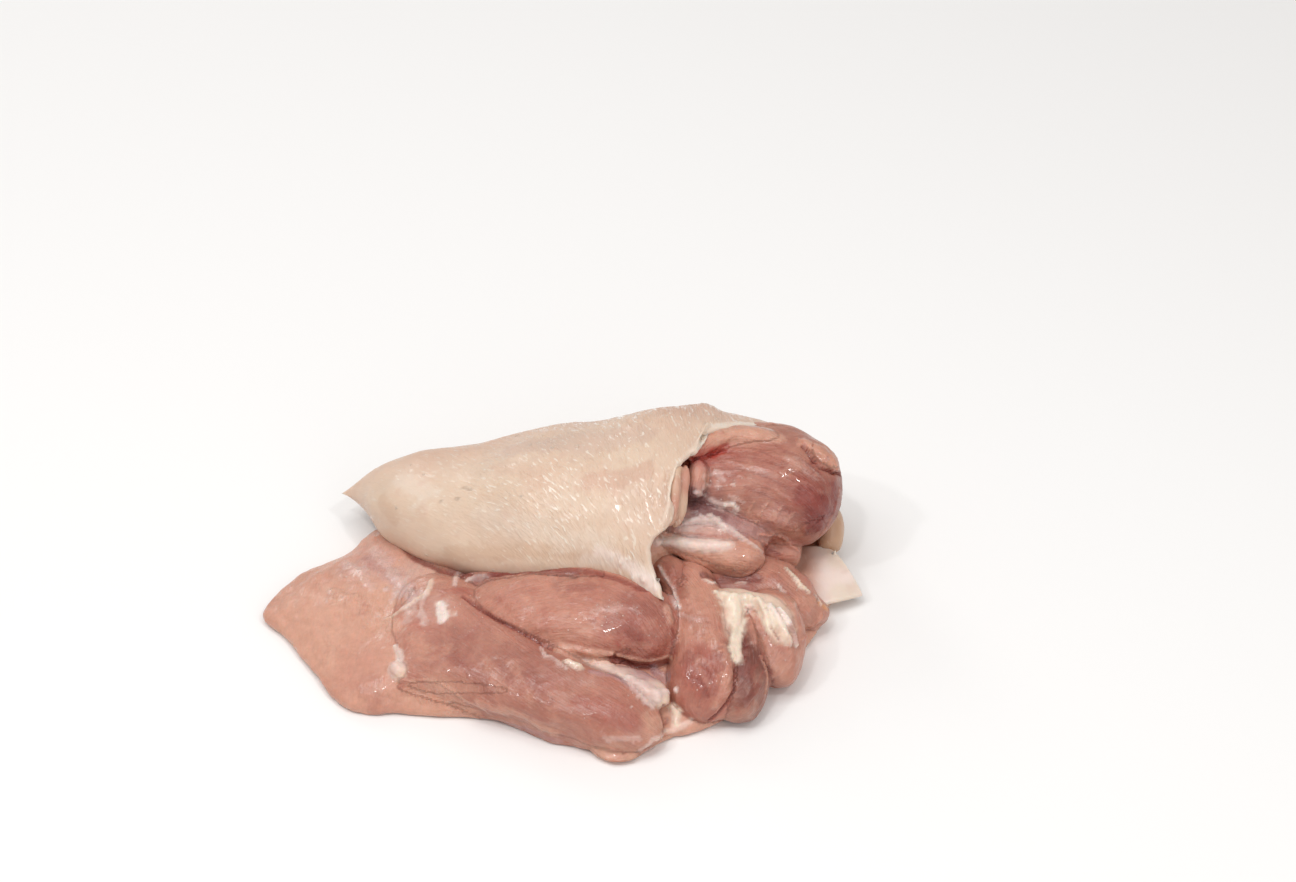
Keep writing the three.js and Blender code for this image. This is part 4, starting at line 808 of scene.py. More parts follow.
def new_object(name, points, faces):
    """An object at the origin from points in millimetres, with smooth shading."""
    mesh = bpy.data.meshes.new(name)
    mesh.from_pydata((np.asarray(points) * MM).tolist(), [], faces)
    mesh.validate()
    mesh.shade_smooth()
    made = bpy.data.objects.new(name, mesh)
    bpy.context.collection.objects.link(made)
    return made


def as_plain_mesh(thing):
    """Turns what the modifiers of an object make into its own mesh."""
    bpy.context.view_layer.update()
    evaluated = thing.evaluated_get(bpy.context.evaluated_depsgraph_get())
    mesh = bpy.data.meshes.new_from_object(evaluated)
    thing.modifiers.clear()
    thing.data = mesh
    mesh.shade_smooth()
    return thing


def read_points(mesh):
    points = np.empty(len(mesh.vertices) * 3)
    mesh.vertices.foreach_get("co", points)
    return points.reshape(-1, 3) / MM


def write_points(mesh, points):
    mesh.vertices.foreach_set("co", (points * MM).ravel())
    mesh.update()


def read_normals(mesh):
    normals = np.empty(len(mesh.vertices) * 3)
    mesh.vertex_normals.foreach_get("vector", normals)
    return normals.reshape(-1, 3)


def relaxed(mesh, points, passes, weight=0.5):
    """Points moved towards the middle of their neighbours, that share of the way in each pass."""
    edges = np.empty(len(mesh.edges) * 2, dtype=np.int64)
    mesh.edges.foreach_get("vertices", edges)
    a, b = edges.reshape(-1, 2).T
    count = np.bincount(a, minlength=len(points)) + np.bincount(b, minlength=len(points))
    for _ in range(passes):
        mean = np.empty_like(points)
        for axis in range(3):
            mean[:, axis] = (np.bincount(a, points[b, axis], len(points))
                             + np.bincount(b, points[a, axis], len(points))) / np.maximum(count, 1)
        points = points + weight * (mean - points)
    return points


def store(mesh, name, kind, values):
    """Writes values for each point to a named attribute."""
    layer = mesh.attributes.new(name, kind, "POINT")
    if kind == "FLOAT_COLOR":
        values = np.column_stack([values, np.ones(len(values))])
    field = {"FLOAT_COLOR": "color", "FLOAT_VECTOR": "vector", "FLOAT": "value"}[kind]
    layer.data.foreach_set(field, values.astype(np.float32).ravel())


# ---- Shader expressions -----------------------------------------------------------------------------
class Signal:
    """A shader socket that can stand in a Python expression."""

    def __init__(self, finish, socket):
        self.finish, self.socket = finish, socket

    def combine(self, operation, first, second):
        maths = self.finish.add("ShaderNodeMath", {"operation": operation}, {0: first, 1: second})
        return Signal(self.finish, maths.outputs[0])

    def __add__(self, other):
        return self.combine("ADD", self, other)

    def __radd__(self, other):
        return self.combine("ADD", other, self)

    def __sub__(self, other):
        return self.combine("SUBTRACT", self, other)

    def __rsub__(self, other):
        return self.combine("SUBTRACT", other, self)

    def __mul__(self, other):
        return self.combine("MULTIPLY", self, other)

    def __rmul__(self, other):
        return self.combine("MULTIPLY", other, self)


class Finish:
    """A material that is being built from nodes round one Principled shader."""

    def __init__(self, name, constants):
        self.material = bpy.data.materials.new(name)
        self.material.use_nodes = True
        self.tree = self.material.node_tree
        self.shader = self.tree.nodes["Principled BSDF"]
        for socket, value in constants.items():
            self.shader.inputs[socket].default_value = value

    def add(self, kind, settings=None, inputs=None):
        node = self.tree.nodes.new(kind)
        for key, value in (settings or {}).items():
            if key == "stops":
                for element, (place, level) in zip(node.color_ramp.elements, value):
                    element.position, element.color = place, (level, level, level, 1)
            else:
                setattr(node, key, value)
        for key, value in (inputs or {}).items():
            if isinstance(value, Signal):
                self.tree.links.new(value.socket, node.inputs[key])
            elif value is not None:
                node.inputs[key].default_value = value
        return node

    def out(self, kind, socket, settings=None, inputs=None):
        return Signal(self, self.add(kind, settings, inputs).outputs[socket])

    def attribute(self, name, socket="Vector"):
        return self.out("ShaderNodeAttribute", socket, {"attribute_name": name})

    def place(self):
        return self.out("ShaderNodeTexCoord", "Object")

    def noise(self, vector, scale, detail=2.0, roughness=0.5, distortion=0.0):
        return self.out("ShaderNodeTexNoise", 0, None, {"Vector": vector, "Scale": scale, "Detail": detail,
                                                        "Roughness": roughness, "Distortion": distortion})

    def stretched(self, vector, factors):
        return self.out("ShaderNodeVectorMath", 0, {"operation": "MULTIPLY"}, {0: vector, 1: factors})

    def ramp(self, value, low, high, to_low=0.0, to_high=1.0):
        """A soft step of a value from low to high."""
        return self.out("ShaderNodeMapRange", 0, {"interpolation_type": "SMOOTHSTEP"}, {
            "Value": value, "From Min": low, "From Max": high, "To Min": to_low, "To Max": to_high})

    def mix(self, factor, first, second, blend="MIX"):
        node = self.add("ShaderNodeMix", {"data_type": "RGBA", "blend_type": blend}, {0: factor})
        for index, value in ((6, first), (7, second)):
            if isinstance(value, Signal):
                self.tree.links.new(value.socket, node.inputs[index])
            else:
                node.inputs[index].default_value = (*value, 1)
        return Signal(self, node.outputs[2])

    def shaded(self, colour, level):
        """A colour made lighter or darker by a level, where 1 leaves it as it is."""
        grey = self.out("ShaderNodeCombineColor", 0, None, {0: level, 1: level, 2: level})
        return self.mix(1.0, colour, grey, "MULTIPLY")

    def feed(self, socket, signal):
        self.tree.links.new(signal.socket, self.shader.inputs[socket])

    def bump(self, height, distance):
        """Relief that is that many metres high where height goes from 0 to 1."""
        self.feed("Normal", self.out("ShaderNodeBump", 0, None, {
            "Height": height, "Distance": distance, "Strength": 1.0}))


# The film of moisture on flesh and skin.
WET = {"Coat Roughness": 0.09, "Coat IOR": 1.5, "IOR": 1.42}


def flesh_finish(settings):
    """Moist raw meat: its own colour with fibres along each muscle, under a broken film of moisture."""
    finish = Finish("raw_flesh", {**WET, "Subsurface Weight": 0.5, "Subsurface Radius": (1.0, 0.45, 0.3),
                                  "Subsurface Scale": 0.0011})
    tint, grain, place = finish.attribute("tint", "Color"), finish.attribute("grain"), finish.place()
    fat, shine = finish.attribute("fat", "Fac"), finish.attribute("shine", "Fac")
    fibres = finish.noise(finish.stretched(grain, (0.13, 1.1, 1.0)), 1.0, 3.0, 0.55, 0.3)
    threads = finish.noise(finish.stretched(grain, (0.35, 2.6, 1.0)), 1.0, 1.0, 0.5, 0.3)
    marble = finish.noise(place, 170.0, 3.0, 0.6, 0.6)
    mottle = finish.noise(place, 520.0, 2.0, 0.6)
    beads = finish.noise(place, 1000.0, 1.0, 0.5)
    grit = finish.noise(place, 1500.0, 2.0, 0.6)
    lean = 1 - fat
    level = 1.0 + (fibres - 0.5) * 0.34 * lean + (mottle - 0.5) * 0.28 + (grit - 0.5) * 0.16
    toned = finish.shaded(tint, level)
    toned = finish.mix(finish.ramp(marble, 0.50, 0.74) * lean * 0.34, toned, shade("pale"))
    toned = finish.mix(finish.ramp(marble, 0.48, 0.28) * lean * 0.42, toned, shade("red"))
    pale_threads = finish.ramp(threads, 0.55, 0.75) * finish.ramp(mottle, 0.42, 0.62) * lean * 0.14
    finish.feed("Base Color", finish.mix(pale_threads, toned, shade("sinew")))
    finish.feed("Roughness", 0.43 + (mottle - 0.5) * 0.2 + fat * 0.04 - shine * 0.12)
    wet = finish.noise(place, 560.0, 3.0, 0.65) * 0.5 + threads * 0.5
    film = finish.ramp(wet, 0.46, 0.58, 0.10, 1.0)
    finish.feed("Coat Weight", film * (0.3 + shine * 0.7) * settings.wetness)
    strands = (fibres * 0.4 + threads * 0.26 + mottle * 0.45) * lean
    finish.bump(strands + beads * (0.12 + shine * 0.5) * (1 - fat * 0.6), distance=0.0006)
    return finish.material


def skin_finish(settings):
    """Chicken skin: its own colour, broken up by fine wrinkles that catch the light, with painted glints in
    its colour.
    """
    finish = Finish("chicken_skin", {**WET, "Subsurface Weight": 0.45, "Subsurface Radius": (1.0, 0.78, 0.62),
                                     "Subsurface Scale": 0.0009, "Coat Roughness": 0.16})
    tint, grain, place = finish.attribute("tint", "Color"), finish.attribute("grain"), finish.place()
    ruffle = finish.attribute("ruffle", "Fac")
    wrinkles = finish.noise(finish.stretched(grain, (0.42, 0.62, 1.0)), 1.0, 1.0, 0.5, 0.8)
    flecks = finish.noise(finish.stretched(grain, (0.5, 1.3, 1.0)), 1.0, 1.0, 0.5, 0.4)
    sparse = finish.ramp(finish.noise(place, 330.0, 2.0, 0.6), 0.45, 0.58)
    clouds = finish.noise(place, 90.0, 3.0, 0.6)
    grit = finish.noise(place, 1500.0, 2.0, 0.6)
    level = 1.0 + (clouds - 0.5) * 0.18 + (wrinkles - 0.5) * 0.08 * ruffle
    toned = finish.shaded(tint, level)
    toned = finish.mix(finish.ramp(wrinkles, 0.44, 0.30) * ruffle * 0.26, toned, shade("tan"))
    pink = finish.ramp(finish.noise(place, 170.0, 2.0, 0.6), 0.54, 0.74) * 0.3
    toned = finish.mix(pink, toned, shade("flush"))
    # Painted glints: pale flecks mixed into the skin's colour.
    painted_glints = finish.ramp(flecks, 0.56, 0.66) * sparse * (0.25 + ruffle * 0.75)
    finish.feed("Base Color", finish.mix(painted_glints * 0.6, toned, (0.94, 0.87, 0.77)))
    finish.feed("Roughness", 0.44 + (clouds - 0.5) * 0.2)
    film = finish.ramp(flecks, 0.48, 0.62, 0.06, 1.0) * (0.2 + sparse * 0.3 + ruffle * 0.5)
    finish.feed("Coat Weight", film * settings.wetness)
    creases = (wrinkles * 0.55 + flecks * 0.4) * (0.15 + ruffle * 0.85)
    finish.bump(creases + clouds * 0.5 + grit * 0.05, distance=0.00055)
    return finish.material


def moisture_finish():
    """A drop of moisture: it shows the flesh under it, paled as a painted highlight, and a small bright
    light.
    """
    finish = Finish("moisture", {"Coat Weight": 1.0, "Coat Roughness": 0.05, "Coat IOR": 1.5, "IOR": 1.4})
    # Painted highlight: the drop's colour is mixed a quarter of the way to white.
    finish.feed("Base Color", finish.mix(0.25, finish.attribute("tint", "Color"), shade("white")))
    finish.feed("Roughness", 0.12 + finish.noise(finish.place(), 900.0) * 0.08)
    return finish.material


def floor_finish(colour):
    finish = Finish("table", {"Roughness": 0.8})
    grain = finish.noise(finish.place(), 40.0)
    finish.feed("Base Color", finish.mix(grain * 0.02, linear(colour), (0.9, 0.9, 0.9)))
    return finish.material


# ---- The flesh --------------------------------------------------------------------------------------
def sweeps(*groups):
    """Bundles of flesh and fat as sweeps, each with the colours along it."""
    made = []
    for group in groups:
        for name, (stations, tints) in group.items():
            square, roll = BUNDLE_SHAPES.get(name, (1.0, 0.0))
            made.append((Sweep(stations, square=square, roll=roll), tints))
    return made


def fold_core(skin_thickness):
    stations = FOLD[1:6] + FOLD_CORE_END
    return Sweep(stations, thinner=skin_thickness / MM, standing=True)


def in_crevice(mesh, points, normals, passes=14):
    """How far each point lies below its surroundings, in millimetres."""
    return ((relaxed(mesh, points, passes, weight=0.7) - points) * normals).sum(1)


def wing_tint(points):
    """The thin sheet of flesh at the left: paler towards its rim and streaked across."""
    streak = smooth(0.5 + 0.5 * soft_noise(points * (1, 0.35, 1), 7.0, 6))[:, None]
    return shade("blush") + (shade("pale") - shade("blush")) * streak


# How far round a stroke points are looked at, how far above or below it they may lie, how steeply they
# count as further away beyond that, and the most half widths that are told apart.
STROKE_MARGIN, STROKE_DEPTH, STROKE_STEEPNESS, STROKE_FAR = 6, 3, 4, 9.0


def near_stroke(points, normals, stroke):
    """The points near a stroke, and how far each lies from its middle, in half widths.

    Distance is measured along the surface, so a stroke may lie a little above or below it.
    """
    stroke = np.array(stroke, dtype=float)
    low, high = stroke[:, :3].min(0) - STROKE_MARGIN, stroke[:, :3].max(0) + STROKE_MARGIN
    inside = np.flatnonzero(((points > low) & (points < high)).all(1))
    spots, faces = points[inside], normals[inside]
    nearest = np.full(len(spots), STROKE_FAR)
    for a, b in zip(stroke, stroke[1:] if len(stroke) > 1 else stroke):
        span = b[:3] - a[:3]
        share = np.clip(((spots - a[:3]) @ span) / max(span @ span, 1e-9), 0, 1)
        offset = spots - a[:3] - share[:, None] * span
        depth = (offset * faces).sum(1)
        beyond = np.maximum(np.abs(depth) - STROKE_DEPTH, 0)
        flat = np.sqrt(np.maximum((offset**2).sum(1) - depth**2, 0) + beyond**2 * STROKE_STEEPNESS)
        nearest = np.minimum(nearest, flat / (a[3] + share * (b[3] - a[3])))
    return inside, nearest


def paint(strokes, points, normals, tint, fat=None, shine=None):
    """Lays strokes over a surface, and returns how far they lift each point, in millimetres."""
    height = np.zeros(len(points))
    for stroke, lift, colour, strength, ragged, *gloss in strokes:
        inside, ratio = near_stroke(points, normals, stroke)
        spots = points[inside]
        ratio = ratio * (1 + ragged * soft_noise(spots, 1.7, 91) + 0.6 * ragged * soft_noise(spots, 0.8, 92))
        share = strength * smooth((1.2 - ratio) / 0.7)
        height[inside] += lift * smooth((1.0 - ratio) / 0.8)
        tint[inside] += (shade(colour) - tint[inside]) * share[:, None]
        if gloss:
            fat[inside] += ((colour in FATTY) - fat[inside]) * share
            shine[inside] += (gloss[0] - shine[inside]) * smooth((1.1 - ratio) / 0.5)
    return height


class FleshSurface:
    """What the two pieces of flesh are made with. Lengths are in millimetres."""

    LUMPS = ((8.5, 1, 1), (3.6, 0.45, 2), (1.8, 0.26, 8))  # size, share of the height and seed
    EVEN_PASSES = 3  # passes of smoothing once the bundles have grown together
    CREVICE_DEPTH, CREVICE_RED = 1.1, 0.85  # depth of a crevice's fullest painted shade, and how dark and red it is painted
    CREST_START, CREST_HEIGHT, CREST_PALE = 0.25, 0.9, 0.3  # from where a crest pales, over what, how far
    SHINE_SIZE, SHINE_LEAST, SHINE_MOST = 6, 0.05, 0.8
    BUNDLE_REACH = 0.55  # how far from its surface a bundle gives its colour
    PAD_WEIGHT = np.exp(-0.8)  # how strongly the sheet under the bundles gives its own
    CLEARANCE = 0.15  # least height above the table

    def grow(self, context, name, bundles, others, strokes):
        """Grows bundles and other closed forms into one piece, then shapes and colours its surface."""
        shape, finish = context.scene.fillet_shape, context.scene.fillet_finish
        flesh = new_object(name, *joined([sweep.solid() for sweep, _ in bundles] + others))
        flesh.modifiers.new("Grown together", "REMESH").voxel_size = shape.voxel
        as_plain_mesh(flesh)
        mesh = flesh.data
        points = relaxed(mesh, read_points(mesh), self.EVEN_PASSES)
        write_points(mesh, points)
        points = self.merged(mesh, points)
        write_points(mesh, points)
        normals = read_normals(mesh)
        tint, grain, fat, fibre_height = self.blend_bundles(points, bundles)
        height = shape.lumps / MM * soft_hills(points, *self.LUMPS) + shape.fibres / MM * fibre_height
        crevice = in_crevice(mesh, points, normals)
        # Painted shade: points deep in a crevice are darkened towards red.
        depth = smooth(crevice / self.CREVICE_DEPTH)[:, None]
        crest = smooth((-crevice - self.CREST_START) / self.CREST_HEIGHT)[:, None]
        tint = tint * (1 - depth * (1 - shade("red") / shade("pale")) * self.CREVICE_RED)
        tint = tint + (shade("pale") - tint) * crest * self.CREST_PALE
        shine = 0.25 + 0.35 * soft_noise(points, self.SHINE_SIZE, 17)
        shine = np.clip(shine, self.SHINE_LEAST, self.SHINE_MOST)
        height += paint(strokes, points, normals, tint, fat, shine)
        points = points + normals * height[:, None]
        points[:, 2] = np.maximum(points[:, 2], self.CLEARANCE)
        write_points(mesh, points)
        store(mesh, "tint", "FLOAT_COLOR", np.clip(tint * finish.brightness, 0, 1))
        store(mesh, "grain", "FLOAT_VECTOR", grain)
        store(mesh, "fat", "FLOAT", fat)
        store(mesh, "shine", "FLOAT", shine)
        mesh.materials.append(bpy.data.materials.get("raw_flesh") or flesh_finish(finish))
        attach(flesh, "root")
        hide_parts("flesh")

    def merged(self, mesh, points):
        """Points, smoothed where bundles pass into each other without a crease."""
        for x, y, z, reach, passes in MERGES:
            share = smooth(1.4 - np.linalg.norm(points - (x, y, z), axis=1) / reach)[:, None]
            if share.max() > 0:
                points = points + (relaxed(mesh, points, passes, weight=0.7) - points) * share
        return points

    def blend_bundles(self, points, bundles):
        """Colour, fibre direction, share of fat and fibre relief, each from the nearest bundles."""
        count = len(points)
        near_pad = np.full(count, self.PAD_WEIGHT)
        tint_sum = near_pad[:, None] * wing_tint(points)
        weight_sum, fat_sum = near_pad.copy(), 0.6 * near_pad
        best = near_pad.copy()
        grain = np.column_stack([points[:, 1] + 0.3 * points[:, 0], points[:, 0] * 1.1 - points[:, 1] * 0.2,
                                 points[:, 2]])
        for number, (sweep, tints) in enumerate(bundles):
            t, angle, distance = sweep.locate(points)
            weight = np.exp(-((distance / self.BUNDLE_REACH) ** 2))
            start, middle, end = (shade(tint) for tint in tints)
            along = t[:, None]
            colour = np.where(along < 0.5, start + (middle - start) * smooth(along * 2),
                              middle + (end - middle) * smooth(along * 2 - 1))
            tint_sum += weight[:, None] * colour
            weight_sum += weight
            fat_sum += weight * (tints[1] in FATTY)
            wins = weight > best
            best = np.where(wins, weight, best)
            girth = sweep.station(t)[:, 3:].mean(1)
            own = np.column_stack([t * sweep.length, angle * girth, np.full(count, 9.7 * number)])
            grain = np.where(wins[:, None], own, grain)
        tint, fat = tint_sum / weight_sum[:, None], fat_sum / weight_sum
        for x, y, z, reach, name, strength in STAINS_AND_PAINTED_LIGHT:
            away = np.linalg.norm(points - (x, y, z), axis=1) / reach
            away += 0.22 * soft_noise(points, reach * 0.35, 5)
            tint += (shade(name) - tint) * (strength * smooth(1.15 - away))[:, None]
        fine = soft_noise(grain * (0.09, 0.55, 1), 1.0, 3)
        coarse = soft_noise(grain * (0.05, 0.2, 1), 1.0, 4)
        return tint, grain, fat, (fine + 1.6 * coarse) * (1 - 0.7 * fat)


class FILLET_OT_open_flesh(bpy.types.Operator, FleshSurface):
    """Grow the muscles, fat and sinew of the lower half together, flesh side up"""

    bl_idname = "fillet.open_flesh"
    bl_label = "Open Flesh"

    def execute(self, context):
        wing = pad(WING_OUTLINE, WING_CENTRE, WING_RIM, WING_CROWN)
        self.grow(context, "open_flesh", sweeps(OPEN_MUSCLES, FAT, OPEN_DETAILS), [wing], OPEN_STROKES)
        return {"FINISHED"}


class FILLET_OT_folded_flesh(bpy.types.Operator, FleshSurface):
    """Grow the flesh of the folded half together, with the dark muscle that comes out at its end"""

    bl_idname = "fillet.folded_flesh"
    bl_label = "Folded Flesh"

    def execute(self, context):
        core = fold_core(context.scene.fillet_shape.skin).solid(sides=90)
        self.grow(context, "folded_flesh", sweeps(FOLDED_MUSCLES, FOLDED_DETAILS), [core], FOLDED_STROKES)
        return {"FINISHED"}


# ---- The skin ---------------------------------------------------------------------------------------
def even_steps(count, edge_cells, edge_share):
    """Places from 0 to 1 that lie closer together at both ends, where an edge is rounded."""
    step = np.ones(count)
    step[:edge_cells] = edge_share
    step[-edge_cells:] = edge_share
    return np.concatenate([[0], np.cumsum(step)]) / step.sum()


def grid_normals(grid):
    """Unit normals of a grid of points, from its two directions."""
    across, down = np.gradient(grid, axis=0), np.gradient(grid, axis=1)
    normal = np.cross(across, down)
    return normal / np.maximum(np.linalg.norm(normal, axis=-1, keepdims=True), 1e-9)


def facing_up(grid):
    """A grid, turned over if its middle faces down, and its normals."""
    normals = grid_normals(grid)
    if normals[grid.shape[0] // 2, grid.shape[1] // 2, 2] < 0:
        return grid[:, ::-1], -normals[:, ::-1]
    return grid, normals


def edge_distance(grid):
    """Distance of each point of a grid from its nearest edge, along the grid's lines."""
    def run(axis):
        step = np.linalg.norm(np.diff(grid, axis=axis), axis=-1)
        total = np.insert(np.cumsum(step, axis=axis), 0, 0, axis=axis)
        last = np.take(total, [-1], axis=axis)
        return np.minimum(total, last - total)
    return np.minimum(run(0), run(1))


def sheet_solid(outer, thickness, roundness=1.0):
    """A grid as a closed sheet of that thickness below it, its edges rounded off over that distance."""
    normals = grid_normals(outer)
    nearness = np.clip(edge_distance(outer) / roundness, 0, 1)
    swell = np.sqrt(1 - (1 - nearness) ** 2)[..., None] * 0.5 + 0.02
    middle = outer - normals * thickness[..., None] * 0.5
    top = middle + normals * thickness[..., None] * swell
    bottom = middle - normals * thickness[..., None] * swell
    rows, columns = outer.shape[:2]
    count = rows * columns
    index = np.arange(count).reshape(rows, columns)
    quads = np.stack([index[:-1, :-1], index[1:, :-1], index[1:, 1:], index[:-1, 1:]], axis=-1).reshape(-1, 4)
    rim = np.concatenate([index[0, :], index[1:, -1], index[-1, -2::-1], index[-2:0:-1, 0]])
    turned = np.roll(rim, -1)
    sides = np.stack([rim, turned, turned + count, rim + count], axis=-1)
    faces = np.vstack([quads, quads[:, ::-1] + count, sides])
    return np.vstack([top.reshape(-1, 3), bottom.reshape(-1, 3)]), faces.tolist()


def wrinkle_grain(points):
    """Coordinates along and across the wrinkles, which fall to the right, most steeply at their right end."""
    steps = np.arange(-80, 81, 1.0)
    turn = np.radians(np.interp(steps, WRINKLE_PLACES, WRINKLE_ANGLES))
    start_x, start_across = WRINKLE_START
    fall = np.cumsum(np.tan(turn))
    fall -= fall[np.searchsorted(steps, start_x)]
    along, fallen, spread = (np.interp(points[:, 0], steps, values)
                             for values in (np.cumsum(1 / np.cos(turn)), fall, np.cos(turn)))
    across = (points[:, 2] * WRINKLE_RISE + points[:, 1] - start_across - fallen) * spread
    return np.column_stack([along, across, np.zeros(len(points))])


def ruffled(points):
    """How wrinkled the skin is: least at the left, at its lower edge and round its tip."""
    rising = 0.25 + 0.75 * smooth((points[:, 0] + 34) / 32)
    from_tip = np.linalg.norm(points - SKIN_TIP, axis=1)
    patches = np.clip(0.75 + 0.5 * soft_noise(points, 9, 18), 0.2, 1)
    return rising * smooth((points[:, 2] - 16) / 11) * smooth((from_tip - 4) / 9) * patches


def finish_skin(piece, tint, inner, settings):
    """Colours a piece of skin, and lets it ride and stand for the skin."""
    mesh = piece.data
    store(mesh, "tint", "FLOAT_COLOR", np.clip(tint * settings.brightness, 0, 1))
    points = read_points(mesh)
    store(mesh, "ruffle", "FLOAT", ruffled(points) * (1 - inner))
    store(mesh, "grain", "FLOAT_VECTOR", wrinkle_grain(points))
    mesh.materials.append(bpy.data.materials.get("chicken_skin") or skin_finish(settings))
    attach(piece, "root")
    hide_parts("skin")


def skin_tint(points):
    """Cream, with a flush where meat shows through, and tan low at the front, partly colour and partly
    painted shade.
    """
    flush = smooth((points[:, 1] - 16) / 22) * 0.45 + smooth((points[:, 0] - 4) / 26) * 0.42
    flush = np.clip(flush + 0.3 * soft_noise(points, 10, 31), 0, 1)[:, None]
    tint = shade("cream") + (shade("flush") - shade("cream")) * flush
    # Partly painted shade: tan where the fold's lower front curves under.
    low = smooth((15.5 - points[:, 2]) / 8) * smooth((12 - points[:, 1]) / 8)
    return tint + (shade("tan") - tint) * (0.75 * low)[:, None]


class FILLET_OT_skin(bpy.types.Operator):
    """Lay the skin over the fold, from its corner at the front round the back to the table"""

    bl_idname = "fillet.skin"
    bl_label = "Skin Over The Fold"

    ROWS, COLUMNS = 215, 215
    AROUND, ALONG = 420, 260  # how finely the fold is sampled before the even grid is laid over it
    CROWDING = 0.12  # how much closer the rows lie at the free lip

    def execute(self, context):
        shape, settings = context.scene.fillet_shape, context.scene.fillet_finish
        grid, normals = facing_up(self.draped_grid())
        flat, outward = grid.reshape(-1, 3), normals.reshape(-1, 3)
        tint = skin_tint(flat)
        height = self.relief(flat, shape.wrinkles / MM) + paint(SKIN_STROKES, flat, outward, tint)
        grid = grid + normals * height.reshape(grid.shape[:2])[..., None]
        grid[..., 2] = np.maximum(grid[..., 2], shape.skin / MM)
        radius = np.linalg.norm(grid - grid.mean(axis=1, keepdims=True), axis=-1)
        thickness = np.minimum(shape.skin / MM, 0.35 * radius)
        skin = new_object("skin_over_fold", *sheet_solid(grid, thickness))
        # Fat shows white along the cut edge, in a wider band above the dark muscle, and all over the inside.
        edge = edge_distance(grid).ravel()
        band = smooth((flat[:, 0] - 32) / 5) * smooth((4.2 - edge) / 2.0)
        white = np.maximum(0.7 * smooth(1 - edge / 1.4), 0.9 * band)
        tint = tint + (shade("skin fat") - tint) * white[:, None]
        inside = np.broadcast_to(shade("skin fat"), tint.shape)
        inner = np.concatenate([white, np.ones(len(white))])
        finish_skin(skin, np.vstack([tint, inside]), inner, settings)
        return {"FINISHED"}

    def relief(self, points, wrinkle_height):
        """How far wrinkles, swells and the fat below lift each point, in millimetres."""
        grain = wrinkle_grain(points)
        coarse = soft_noise(grain * (0.09, 0.26, 1), 1.0, 15) * smooth((points[:, 0] - 2) / 18)
        ridges = soft_noise(grain * (0.2, 0.5, 1), 1.0, 11) + 1.6 * coarse
        fade = 0.15 + 0.85 * ruffled(points)
        swells = soft_hills(points, (14, 0.6, 13), (6, 0.28, 14))
        low_edge = smooth((14 - points[:, 2]) / 6) * smooth((10 - points[:, 1]) / 8)
        low_roll = low_edge * (0.5 + 0.5 * soft_noise(points, 4.4, 16))
        crown = smooth((points[:, 2] - 22) / 10) * smooth((points[:, 0] + 28) / 22)
        crown *= smooth((46 - points[:, 0]) / 14)
        return wrinkle_height * ridges * fade + swells + low_roll + SKIN_RISE * crown

    def draped_grid(self):
        """Points of the skin's outer face: rows run round the fold, one after another along it."""
        sweep = Sweep(FOLD, standing=True)
        reach = np.array(SKIN_REACH, dtype=float)
        around = np.radians(np.linspace(SKIN_BACK_ANGLE, SKIN_FRONT_ANGLE, self.AROUND))
        fine_t = np.linspace(0.0, 1.0, self.ALONG)
        wall = sweep.point(fine_t[None, :], around[:, None])
        ragged = soft_noise(np.column_stack([around * 11, around * 0, around * 0]), 1.0, 21)
        edge_x = np.interp(np.degrees(around), reach[:, 0], reach[:, 1]) + 0.5 * ragged
        edge_t = np.array([np.interp(x, np.maximum.accumulate(line), fine_t)
                           for x, line in zip(edge_x, wall[..., 0])])
        along = even_steps(self.ROWS, 7, 0.4)
        share = along**2 / (along + self.CROWDING) * (1 + self.CROWDING)
        columns = even_steps(self.COLUMNS, 7, 0.4)
        lines = []
        for step in share:
            front = SKIN_FRONT_ANGLE + (SKIN_CORNER_ANGLE - SKIN_FRONT_ANGLE) * smooth((step - 0.74) / 0.24)
            t = np.maximum(edge_t * step, 0.0006)
            line = sweep.point(t, around)
            line = line[around <= np.radians(front)]
            run = np.insert(np.cumsum(np.linalg.norm(np.diff(line, axis=0), axis=1)), 0, 0)
            spots = columns * run[-1]
            lines.append(np.column_stack([np.interp(spots, run, line[:, axis]) for axis in range(3)]))
        return self.pulled_corner(np.array(lines))

    def pulled_corner(self, grid):
        """Draws the front corner of the skin out to its tip, down over the open flesh."""
        corner = grid[-1, -1].copy()
        away = np.linalg.norm(grid - corner, axis=-1) / SKIN_TIP_PULL
        pull = np.clip(1 - away, 0, 1) ** 1.7
        return grid + pull[..., None] * (np.array(SKIN_TIP) - corner)


def rounded_together(name, parts, voxel):
    """Closed forms grown into one smooth piece, with its points and normals. The voxel is in millimetres."""
    piece = new_object(name, *joined(parts))
    piece.modifiers.new("Grown together", "REMESH").voxel_size = voxel * MM
    as_plain_mesh(piece)
    mesh = piece.data
    points = relaxed(mesh, read_points(mesh), 4)
    write_points(mesh, points)
    return piece, points, read_normals(mesh)


class FILLET_OT_lip(bpy.types.Operator):
    """Roll the lip of the skin beside the dark muscle"""

    bl_idname = "fillet.lip"
    bl_label = "Rolled Lip"

    def execute(self, context):
        ridges = [Sweep(ridge).solid() for ridge in SKIN_LIPS]
        lip, points, normals = rounded_together("skin_lip", ridges, 0.35)
        points = points + normals * (0.22 * soft_noise(points, 2.6, 51))[:, None]
        write_points(lip.data, points)
        tint = np.broadcast_to((shade("cream") + shade("tan")) / 2, points.shape)
        creased = smooth(0.6 + soft_noise(points, 4.0, 52))[:, None] * 0.8
        tint = tint + (shade("rose") - tint) * creased
        finish_skin(lip, tint, np.full(len(points), 0.7), context.scene.fillet_finish)
        return {"FINISHED"}


